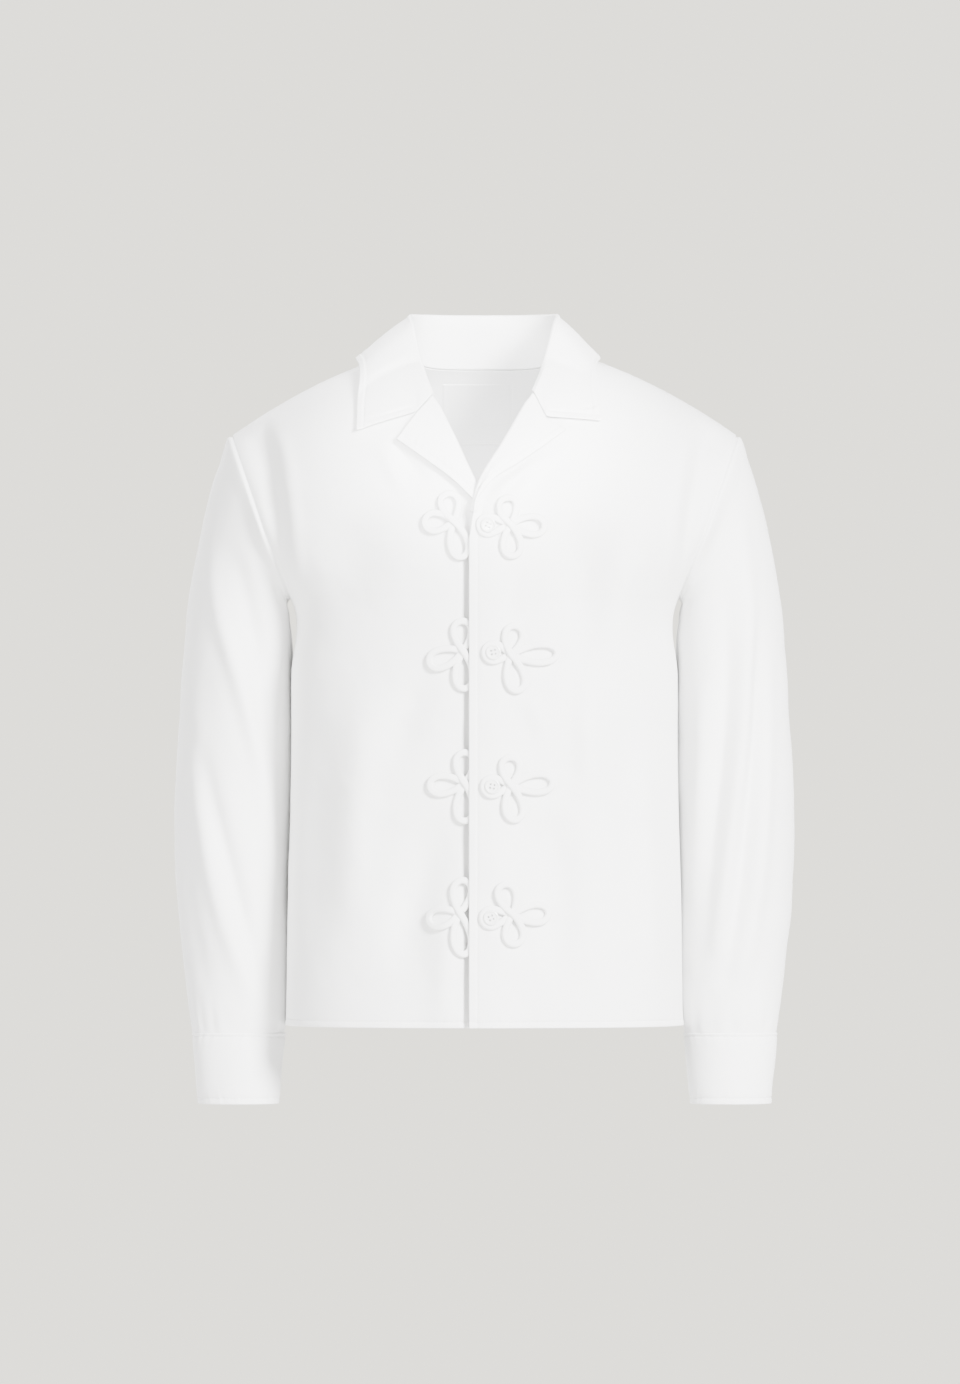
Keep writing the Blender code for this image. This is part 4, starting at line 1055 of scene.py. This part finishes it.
def make_collar(finish, stations=96):
    """The collar, stand and fall in one, from one gorge round the neck to the other."""
    near_end = 1 - np.array([0.004, 0.010, 0.05, 0.06, 0.07, 0.08])
    s = np.unique(np.concatenate([np.linspace(0, 1, stations), near_end]))
    falls = finely(0.075, 0.0027, far_stitches=[COLLAR_STITCH]) / 0.075
    halves = {}
    for hand in (LEFT, RIGHT):
        halves[hand] = [collar_section(hand, *at, falls) for at in zip(s, *collar_lines(hand, s))]
    grid = np.array(halves[RIGHT][::-1] + halves[LEFT][1:])
    along, from_edge = across_gap(grid, axis=0), across_gap(grid, from_end=True)
    past_ends = np.minimum(along, across_gap(grid, True, 0)) - COLLAR_STITCH
    fall_part = np.arange(grid.shape[1])[None, :] > 15
    leaf = ease(0.034, 0.044, across_gap(grid)) * np.ones_like(from_edge)
    past_notch = from_edge < 0.050
    half = turned_edge(from_edge, COLLAR_STITCH, PLY * 1.6, HEM_PLY * 1.05)
    half = half * (1 - 0.5 * bump(past_ends, GROOVE) * past_notch * fall_part)
    move = puckers(from_edge - COLLAR_STITCH, along, 91, FIRM_RIPPLE, 0.006)
    move = move + puckers(past_ends, from_edge, 92, 0.00022, 0.006) * past_notch
    move = move + 0.00040 * waves(93, 0.050, along, from_edge) * leaf
    away = unit(outward(grid, (0, 0, 0.001)))
    grid = grid + away * (move * fall_part)[..., None]
    return wall("cloth_collar", grid, half, finish), grid


# ---- label ----


def make_label(finish):
    """A plain woven label, sewn inside the yoke at both ends."""
    x, z = np.meshgrid(np.linspace(*LABEL_X, 61), np.linspace(*LABEL_Z, 37))
    grid = back_point(x, z)
    from_sides = np.minimum(x - LABEL_X[0], LABEL_X[1] - x)
    grid[..., 1] -= LABEL_GAP + 0.00015 * waves(95, 0.024, x, z) * ease(0.0, 0.006, from_sides)
    half = LABEL_PLY / 2 * (1 + 0.7 * (1 - ease(0.0015, 0.004, from_sides)))
    return wall("woven_label", grid, half, finish), grid


# ---- frogs and buttons ----


def petal_line(knot, tip, first=0.03, last=0.97, steps=96):
    """A teardrop loop in (x, z): out from the knot, round the tip and back."""
    length = np.linalg.norm(tip)
    run = np.array(tip) / length
    side = np.array([-run[1], run[0]])
    turn = 2 * math.pi * np.linspace(first, last, steps)
    out = (1 - np.cos(turn)) / 2
    across = PETAL_WIDTH / 2 * np.sin(turn) * np.sqrt(out) * 1.3
    return knot + ((length - CORD_WIDE / 2) * out)[:, None] * run + across[:, None] * side


def loop_line(knot, centre, steps=72):
    """A loop in (x, z) that runs from the knot round a button and back."""
    knot, centre = np.array(knot), np.array(centre)
    reach = centre - knot
    leave = math.acos(-LOOP_RADIUS / np.linalg.norm(reach))
    angle = math.atan2(reach[1], reach[0]) + np.linspace(leave, -leave, steps)
    arc = centre + LOOP_RADIUS * np.stack([np.cos(angle), np.sin(angle)], axis=1)
    inner = [knot + (arc[0] - knot) * t for t in (0.25, 0.6)]
    outer = [knot + (arc[-1] - knot) * t for t in (0.6, 0.25)]
    return np.concatenate([inner, arc, outer])


def smoothed(values, times, closed):
    """Values along a line, rounded off by averaging neighbours."""
    for _ in range(times):
        new = (np.roll(values, 1, axis=0) + 2 * values + np.roll(values, -1, axis=0)) / 4
        if not closed:
            new[[0, -1]] = values[[0, -1]]
        values = new
    return values


def cord_line(line, closed):
    """A cord's middle, in small even steps."""
    if closed:
        line = np.concatenate([line, line[:1]])
    line = evenly(line, max(8, round(distances(line)[-1] / CORD_STEP)))
    return smoothed(line[:-1] if closed else line, 8, closed)


def cord_sections(line, rise, squash, hand, closed):
    """Rings of points round a flat doubled cord that lies on a front along a line in (x, z)."""
    near = 0.0008
    x, z = line.T
    base, right, above = (front_point(*at, hand) for at in ((x, z), (x + near, z), (x, z + near)))
    n = unit(np.cross(right - base, above - base))
    n = unit(smoothed(n * np.where(n[:, 1:2] > 0, -1, 1), 6, closed))
    high = CORD_HIGH * squash
    centre = base + n * (HEM_PLY * 0.3 + high / 2 + rise)[:, None]
    if closed:
        run = unit(np.roll(centre, -1, axis=0) - np.roll(centre, 1, axis=0))
    else:
        run = unit(np.gradient(centre, axis=0))
    across = unit(np.cross(run, n))
    top = unit(np.cross(across, run))
    angle = np.linspace(0, 2 * math.pi, CORD_SIDES, endpoint=False)
    c, s = np.cos(angle), np.sin(angle)
    wide = CORD_WIDE / 2 * np.sign(c) * np.abs(c) ** 0.95
    tall = np.sign(s) * np.abs(s) ** 0.90 * (1 - CORD_GROOVE * bump(c, CORD_GROOVE_WIDE) * (s > 0))
    rings = centre[:, None, :] + across[:, None, :] * wide[None, :, None]
    return rings + top[:, None, :] * (tall[None, :, None] * (high / 2)[:, None, None])


def cord_faces(rings, closed, first):
    """Faces and thread UVs of a cord, whose open ends are closed later."""
    index = np.arange(len(rings) * CORD_SIDES).reshape(-1, CORD_SIDES) + first
    middles = rings.mean(axis=1)
    if closed:
        index = np.concatenate([index, index[:1]])
        middles = np.concatenate([middles, middles[:1]])
    around = np.linspace(0, CORD_GIRTH, CORD_SIDES + 1)
    uv = np.stack(np.broadcast_arrays(distances(middles)[:, None], around[None, :]), axis=-1)
    uv_index = np.arange(uv[..., 0].size).reshape(uv.shape[:2])
    return quads(index, True)[:, ::-1], uv.reshape(-1, 2)[quads(uv_index, False)][:, ::-1]


def make_cord(points, faces, uvs, line, rise, squash, hand, closed):
    """Adds one cord to a frog's lists."""
    rings = cord_sections(line, rise, squash, hand, closed)
    first = sum(map(len, points))
    new_faces, new_uvs = cord_faces(rings, closed, first)
    points.append(rings.reshape(-1, 3))
    faces.append(new_faces)
    uvs.append(new_uvs)
    if closed:
        return
    for end, step in ((0, 1), (-1, -1)):
        middle = rings[end].mean(axis=0)
        out = unit(middle - rings[end + step].mean(axis=0))
        ring = np.arange(CORD_SIDES) + first - end * (len(rings) - 1) * CORD_SIDES
        for shrink, push in CORD_END:
            new = np.arange(CORD_SIDES) + sum(map(len, points))
            points.append(middle + (rings[end] - middle) * shrink + out * push)
            a, b = (ring, new) if end == 0 else (new, ring)
            faces.append(np.stack([a, np.roll(a, -1), np.roll(b, -1), b], axis=-1))
            ring = new
        for k in range(CORD_SIDES // 2 - 1):
            quad = [ring[k], ring[k + 1], ring[CORD_SIDES - 2 - k], ring[CORD_SIDES - 1 - k]]
            faces.append(np.array([quad if end else quad[::-1]])[:, ::-1])
    uvs.append(np.zeros((sum(map(len, faces)) - sum(map(len, uvs)), 4, 2)))


def make_frog(name, hand, knot, top, foot, others, finish):
    """A figure of eight of cord, crossing over itself at the knot, with the side loops tucked under it."""
    points, faces, uvs = [], [], []
    eight = cord_line(np.concatenate([petal_line(knot, top)[::-1], petal_line(knot, foot)]), True)
    gap = np.linalg.norm(eight - np.array(knot), axis=1)
    cross = len(eight) * np.linalg.norm(top) / (np.linalg.norm(top) + np.linalg.norm(foot))
    upper = np.abs(np.arange(len(eight)) - cross) < len(eight) * 0.2
    over, under = bump(gap, 0.0075) * upper, bump(gap, 0.0060) * ~upper
    rise = smoothed(CORD_RISE * over, 10, True)
    make_cord(points, faces, uvs, eight, rise, 1 - 0.22 * under - 0.06 * over, hand, True)
    for line, flat in others:
        line = cord_line(line, False)
        gap = np.linalg.norm(line - np.array(knot), axis=1)
        squash = flat * (1 - 0.25 * bump(gap, 0.006))
        make_cord(points, faces, uvs, line, np.zeros(len(line)), squash, hand, False)
    o = solid(name, np.concatenate(points), np.concatenate(faces), finish, np.concatenate(uvs))
    turn_outwards(o.data)
    return o


def turned_mesh(name, outline, sides):
    """A closed mesh turned round Z from (radius, height) pairs that start and end on the axis."""
    bm = bmesh.new()
    rings = []
    for r, h in outline:
        angles = np.linspace(0, 2 * math.pi, sides, endpoint=False) if r else [0.0]
        rings.append([bm.verts.new((r * math.cos(a), r * math.sin(a), h)) for a in angles])
    for a, b in zip(rings[:-1], rings[1:]):
        for k in range(sides):
            m = (k + 1) % sides
            corners = [a[k % len(a)], a[m % len(a)], b[m % len(b)], b[k % len(b)]]
            bm.faces.new(list(dict.fromkeys(corners)))
    bmesh.ops.recalc_face_normals(bm, faces=bm.faces)
    mesh = bpy.data.meshes.new(name)
    bm.to_mesh(mesh)
    bm.free()
    return mesh


def make_button(name, centre_xz, degrees, finish):
    """A four-hole button with a raised rim and a dished middle, and the place and ways for its thread."""
    body = placed(name, turned_mesh(name, BUTTON_OUTLINE, 72))
    drills = bpy.data.meshes.new("drills")
    bm = bmesh.new()
    for sx, sy in ((-1, -1), (1, -1), (-1, 1), (1, 1)):
        made = bmesh.ops.create_cone(bm, cap_ends=True, segments=16, radius1=HOLE, radius2=HOLE, depth=0.012)
        bmesh.ops.translate(bm, verts=made["verts"], vec=(sx * HOLE_AT, sy * HOLE_AT, 0))
    bm.to_mesh(drills)
    bm.free()
    drill = placed("drills", drills)
    cut = body.modifiers.new("holes", "BOOLEAN")
    cut.operation, cut.solver, cut.object = "DIFFERENCE", "EXACT", drill
    shape = applied(body)
    bpy.data.objects.remove(drill, do_unlink=True)
    place = front_point(*centre_xz, LEFT)
    place[1] -= HEM_PLY / 2 + BUTTON_RISE
    turn = math.radians(degrees)
    across = np.array([math.cos(turn), 0, math.sin(turn)])
    up = np.array([-math.sin(turn), 0, math.cos(turn)])
    for v in shape.vertices:
        x, y, h = v.co
        v.co = place + x * across + y * up + (0, -h, 0)
    turn_outwards(shape)
    shape.materials.clear()
    shape.materials.append(finish)
    shape.shade_smooth()
    shape.set_sharp_from_angle(angle=math.radians(38))
    return placed(name, shape), (place, across, up)


def thread_bar(bm, place, across, up, side, lay):
    """One pass of thread over a button. Side is the pair of holes, and lay moves the pass aside."""
    rings = []
    for t in np.linspace(0, 1, 9):
        x, y = HOLE_AT * (2 * t - 1), side * HOLE_AT + lay
        high = BUTTON_DISH + BAR_BOW * math.sin(math.pi * t) - BAR_SINK * (abs(2 * t - 1) > 0.9)
        rings.append([
            bm.verts.new(place + x * across + (y + BAR * math.cos(w)) * up + (0, -high - BAR * math.sin(w), 0))
            for w in np.linspace(0, 2 * math.pi, 6, endpoint=False)])
    for r, s in zip(rings[:-1], rings[1:]):
        for k in range(6):
            bm.faces.new((r[k], r[(k + 1) % 6], s[(k + 1) % 6], s[k]))
    bm.faces.new(rings[0])
    bm.faces.new(rings[-1])


def make_button_threads(seats, finish):
    """Two bars of thread in each button, two passes a bar, as one piece."""
    bm = bmesh.new()
    for seat in seats:
        for side in (-1, 1):
            for lay in (-BAR_APART / 2, BAR_APART / 2):
                thread_bar(bm, *seat, side, lay)
    mesh = bpy.data.meshes.new("button_threads")
    bmesh.ops.recalc_face_normals(bm, faces=bm.faces)
    bm.to_mesh(mesh)
    bm.free()
    mesh.shade_smooth()
    mesh.materials.append(finish)
    return placed("button_threads", mesh)


# ---- stitching ----


def stitch_tree(thread):
    """Geometry nodes: lays small stitches end to end along lines of points."""
    tree = bpy.data.node_groups.new("stitch_rows", "GeometryNodeTree")
    face = tree.interface
    face.new_socket("Rows", in_out="INPUT", socket_type="NodeSocketGeometry")
    for label, value in STITCH.items():
        face.new_socket(label, in_out="INPUT", socket_type="NodeSocketFloat").default_value = value
    face.new_socket("Thread", in_out="INPUT", socket_type="NodeSocketMaterial").default_value = thread
    face.new_socket("Stitches", in_out="OUTPUT", socket_type="NodeSocketGeometry")
    given = tree.nodes.new("NodeGroupInput").outputs
    lines = node(tree, "GeometryNodeMeshToCurve", {0: given["Rows"]}).outputs[0]
    even = node(tree, "GeometryNodeResampleCurve", {"Curve": lines, "Length": given["Pitch"]}, mode="LENGTH")
    half_long, half_wide = (math_node(tree, "MULTIPLY", given[way], 0.5) for way in ("Length", "Width"))
    size = node(tree, "ShaderNodeCombineXYZ", {"X": half_long, "Y": half_wide, "Z": half_wide})
    bead = node(tree, "GeometryNodeMeshUVSphere", {"Segments": 6, "Rings": 5, "Radius": 1.0}).outputs["Mesh"]
    along_x = node(tree, "GeometryNodeTransform", {"Geometry": bead, "Rotation": (0, math.pi / 2, 0)})
    tangent = node(tree, "GeometryNodeInputTangent").outputs[0]
    aim = node(tree, "FunctionNodeAlignRotationToVector", {"Vector": tangent}, axis="X")
    laid = node(tree, "GeometryNodeInstanceOnPoints", {
        "Points": even.outputs[0], "Instance": along_x.outputs[0], "Rotation": aim.outputs[0],
        "Scale": size.outputs[0]}).outputs[0]
    real = node(tree, "GeometryNodeRealizeInstances", {0: laid}).outputs[0]
    smooth = node(tree, "GeometryNodeSetShadeSmooth", {"Geometry": real}).outputs[0]
    paint = node(tree, "GeometryNodeSetMaterial", {"Geometry": smooth, "Material": given["Thread"]})
    node(tree, "NodeGroupOutput", {0: paint.outputs[0]})
    return tree


def stitch_rows(name, lines, thread):
    """All the rows of stitches, as one mesh."""
    points, edges = [], []
    for line in lines:
        first = len(points)
        points.extend(map(tuple, line))
        edges.extend((first + k, first + k + 1) for k in range(len(line) - 1))
    guide = bpy.data.meshes.new(name)
    guide.from_pydata(points, edges, [])
    guide = placed("rows", guide)
    sew = guide.modifiers.new("sew", "NODES")
    sew.node_group = stitch_tree(thread)
    given = {**STITCH, "Thread": thread}
    for item in sew.node_group.interface.items_tree:
        if item.in_out == "INPUT" and item.name in given:
            sew[item.identifier] = given[item.name]
    shape = applied(guide)
    shape.name = name
    return placed(name, shape)


def row_at(grid, distance, guide, lift=STITCH_RISE, axis=0, from_end=False, part=slice(None), closed=False):
    """A line over the cloth at a distance from one of its edges, raised by lift towards the guide."""
    n = outward(grid, guide, closed)
    if axis == 1:
        grid, n = grid.transpose(1, 0, 2), n.transpose(1, 0, 2)
    if from_end:
        grid, n = grid[::-1], n[::-1]
    gap = across_gap(grid, axis=0)
    line = []
    for k in range(grid.shape[1]):
        at = np.clip(distance, 0, gap[-1, k])
        p, m = (np.array([np.interp(at, gap[:, k], v[:, k, c]) for c in range(3)]) for v in (grid, n))
        line.append(p + unit(m) * lift)
    line = np.array(line)[part]
    return np.concatenate([line, line[:1]]) if closed else line


# ---- light and camera ----


def aimed(name, light, place, at):
    """Hangs a light at a place, pointing at a point."""
    o = placed(name, light)
    o.location = place
    o.rotation_euler = (Vector(at) - Vector(place)).to_track_quat("-Z", "Y").to_euler()


def make_studio():
    """Even light from all round, three soft lights, a narrow one into the neck, and the floor."""
    world = bpy.data.worlds.new("studio")
    bpy.context.scene.world = world
    world.use_nodes = True
    tree = world.node_tree
    ambient = tree.nodes["Background"]
    backdrop = tree.nodes.new("ShaderNodeBackground")
    for sky, (colour, strength) in ((ambient, AMBIENT), (backdrop, BACKDROP)):
        sky.inputs["Color"].default_value = colour
        sky.inputs["Strength"].default_value = strength
    seen = node(tree, "ShaderNodeLightPath").outputs["Is Camera Ray"]
    either = node(tree, "ShaderNodeMixShader", {"Fac": seen, 1: ambient.outputs[0], 2: backdrop.outputs[0]})
    tree.links.new(either.outputs[0], tree.nodes["World Output"].inputs["Surface"])
    for name, place, size, power in LIGHTS:
        light = bpy.data.lights.new(name, "AREA")
        light.shape, light.size, light.energy = "DISK", size, power
        aimed(name, light, place, LIGHT_AIM)
    spot = bpy.data.lights.new("neck", "SPOT")
    spot.energy, spot.spot_size = NECK_LIGHT_POWER, math.radians(NECK_LIGHT_DEGREES)
    spot.spot_blend, spot.shadow_soft_size = 1.0, NECK_LIGHT_SIZE
    aimed("neck", spot, NECK_LIGHT, NECK_LIGHT_AIM)
    ground = bpy.data.meshes.new("floor")
    bm = bmesh.new()
    bmesh.ops.create_circle(bm, cap_ends=True, segments=96, radius=FLOOR_RADIUS)
    for v in bm.verts:
        v.co.z = FLOOR_Z
    bm.to_mesh(ground)
    bm.free()
    ground.materials.append(plain("floor_paint", FLOOR, 0.9))
    placed("floor", ground)


def make_camera():
    data = bpy.data.cameras.new("camera")
    data.sensor_width = SENSOR
    data.lens = SENSOR * CAMERA_FAR / FRAME_TALL
    data.clip_end = 60
    camera = placed("camera", data)
    camera.location = (AIM[0], -CAMERA_FAR, AIM[2])
    camera.rotation_euler = (math.pi / 2, 0, 0)
    bpy.context.scene.camera = camera


# ---- the shirt ----


def finished(o, node):
    """Hangs a piece on the root and hides the CAD node that it stands for."""
    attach(o, "root")
    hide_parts(node)


def cloth(made, node, slot="shirting", **sheet):
    """Attaches a piece of cloth and hides its CAD node, and gives back its grid."""
    o, grid = made
    finished(o, node)
    return grid


def make_cloth(shirting, tape):
    """All the cloth, and the lines of its stitches."""
    sewn, out, back = [], (0, -1, 0), (0, 1, 0)
    yoke = ["cloth_yoke"]

    def sew(*row, **how):
        sewn.append(row_at(*row, **how))

    for hand, side in SIDE.items():
        grid = cloth(
            make_front(hand, shirting), f"front_{side}", flat=(0.30, 0.72), held="hung",
            rests_on=yoke, area=0.17)
        sew(grid, HEM_STITCH, out, HEM_PLY * 0.32)
        high = int((grid[:, 0, 2] < BREAK[hand][1] - 0.002).sum())
        sew(grid, PLACKET_STITCH, out, HEM_PLY * 0.32, axis=1, part=slice(2, high))
    grid = cloth(make_back(shirting), "back", flat=(0.50, 0.56), held="hung", rests_on=yoke, area=0.26)
    sew(grid, HEM_STITCH, back, HEM_PLY * 0.32)
    sew(grid, SEAM_STITCH + 0.0005, back, PLY * 0.5, from_end=True)
    grid = cloth(make_yoke(shirting), "back_yoke", flat=(0.50, 0.15), held="hung", area=0.055)
    for way in (back, out):
        sew(grid, SEAM_STITCH, way, PLY * 0.6)
    for hand, side in SIDE.items():
        front = [f"cloth_front_{side}"]
        cloth(
            make_sleeve(hand, shirting), f"sleeve_{side}", flat=(0.36, 0.54), held="hung",
            rests_on=front, area=0.19)
        grid = cloth(
            make_cuff(hand, shirting), f"cuff_{side}", flat=(0.240, 0.067), held="hung",
            rests_on=[f"cloth_sleeve_{side}"])
        sew(grid, CUFF_STITCH, from_axis(grid), from_end=True, closed=True)
        sew(grid, CUFF_SEAM_STITCH, from_axis(grid), closed=True)
        grid = cloth(
            make_lapel(hand, shirting), f"lapel_{side}", flat=(0.05, 0.14), held="folded",
            rests_on=front, area=0.0045)
        sew(grid, LAPEL_STITCH, out, axis=1, from_end=True, part=slice(5, -9))
    grid = cloth(make_collar(shirting), "collar", flat=(0.50, 0.11), held="folded", rests_on=yoke, area=0.050)
    sew(grid, COLLAR_STITCH, outward(grid, (0, 0, 0.001)), axis=1, from_end=True, part=slice(8, -8))
    grid = cloth(
        make_label(tape), "neck_label", "label_tape", flat=(0.067, 0.039), held="stretched", rests_on=yoke)
    for end in (False, True):
        sew(grid, LABEL_STITCH, out, 0.0003, axis=1, from_end=end, part=slice(1, -1))
    return sewn


def make_frogs(cover, shell):
    """The frogs and their buttons, and where each button sits."""
    seats = []
    for i, (knot, top, foot, out, button) in enumerate(LEFT_FROGS, 1):
        others = [(petal_line(knot, out, 0.10, 0.90), 1.0), (loop_line(knot, button), LOOP_FLAT)]
        frog = make_frog(f"corded_frog_left_{i}", LEFT, knot, top, foot, others, cover)
        finished(frog, f"frog_left_{i}")
        o, seat = make_button(f"sewn_button_{i}", button, BUTTON_TURNS[i - 1], shell)
        finished(o, f"button_{i}")
        seats.append(seat)
    for i, (knot, top, foot, out) in enumerate(RIGHT_FROGS, 1):
        others = [(petal_line(knot, out, 0.10, 0.90), 1.0)]
        frog = make_frog(f"corded_frog_right_{i}", RIGHT, knot, top, foot, others, cover)
        finished(frog, f"frog_right_{i}")
    return seats


def make_shirt():
    """Every piece of the shirt. Finishes: threads per metre, slub, roughness, relief, crumple, sheen."""
    weave, wear = weave_with_painted_shade(), soft_wear()
    shirting = fabric("cotton_shirting", weave, wear, 2400.0, 0.5, 0.88, 0.00006, 0.0004, 0.08)
    cover = fabric("cord_cover", weave, wear, 1700.0, 0.4, 0.82, 0.00010, 0.0001, 0.10, math.pi / 4)
    tape = fabric("label_satin", weave, wear, 3200.0, 0.3, 0.60, 0.00005, 0.0001, 0.15)
    thread = spun("sewing_thread", wear)
    stitches = stitch_rows("edge_stitching", make_cloth(shirting, tape), thread)
    bars = make_button_threads(make_frogs(cover, resin("button_resin", wear)), thread)
    for o in (stitches, bars):
        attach(o, "root")


make_studio()
make_camera()
make_shirt()
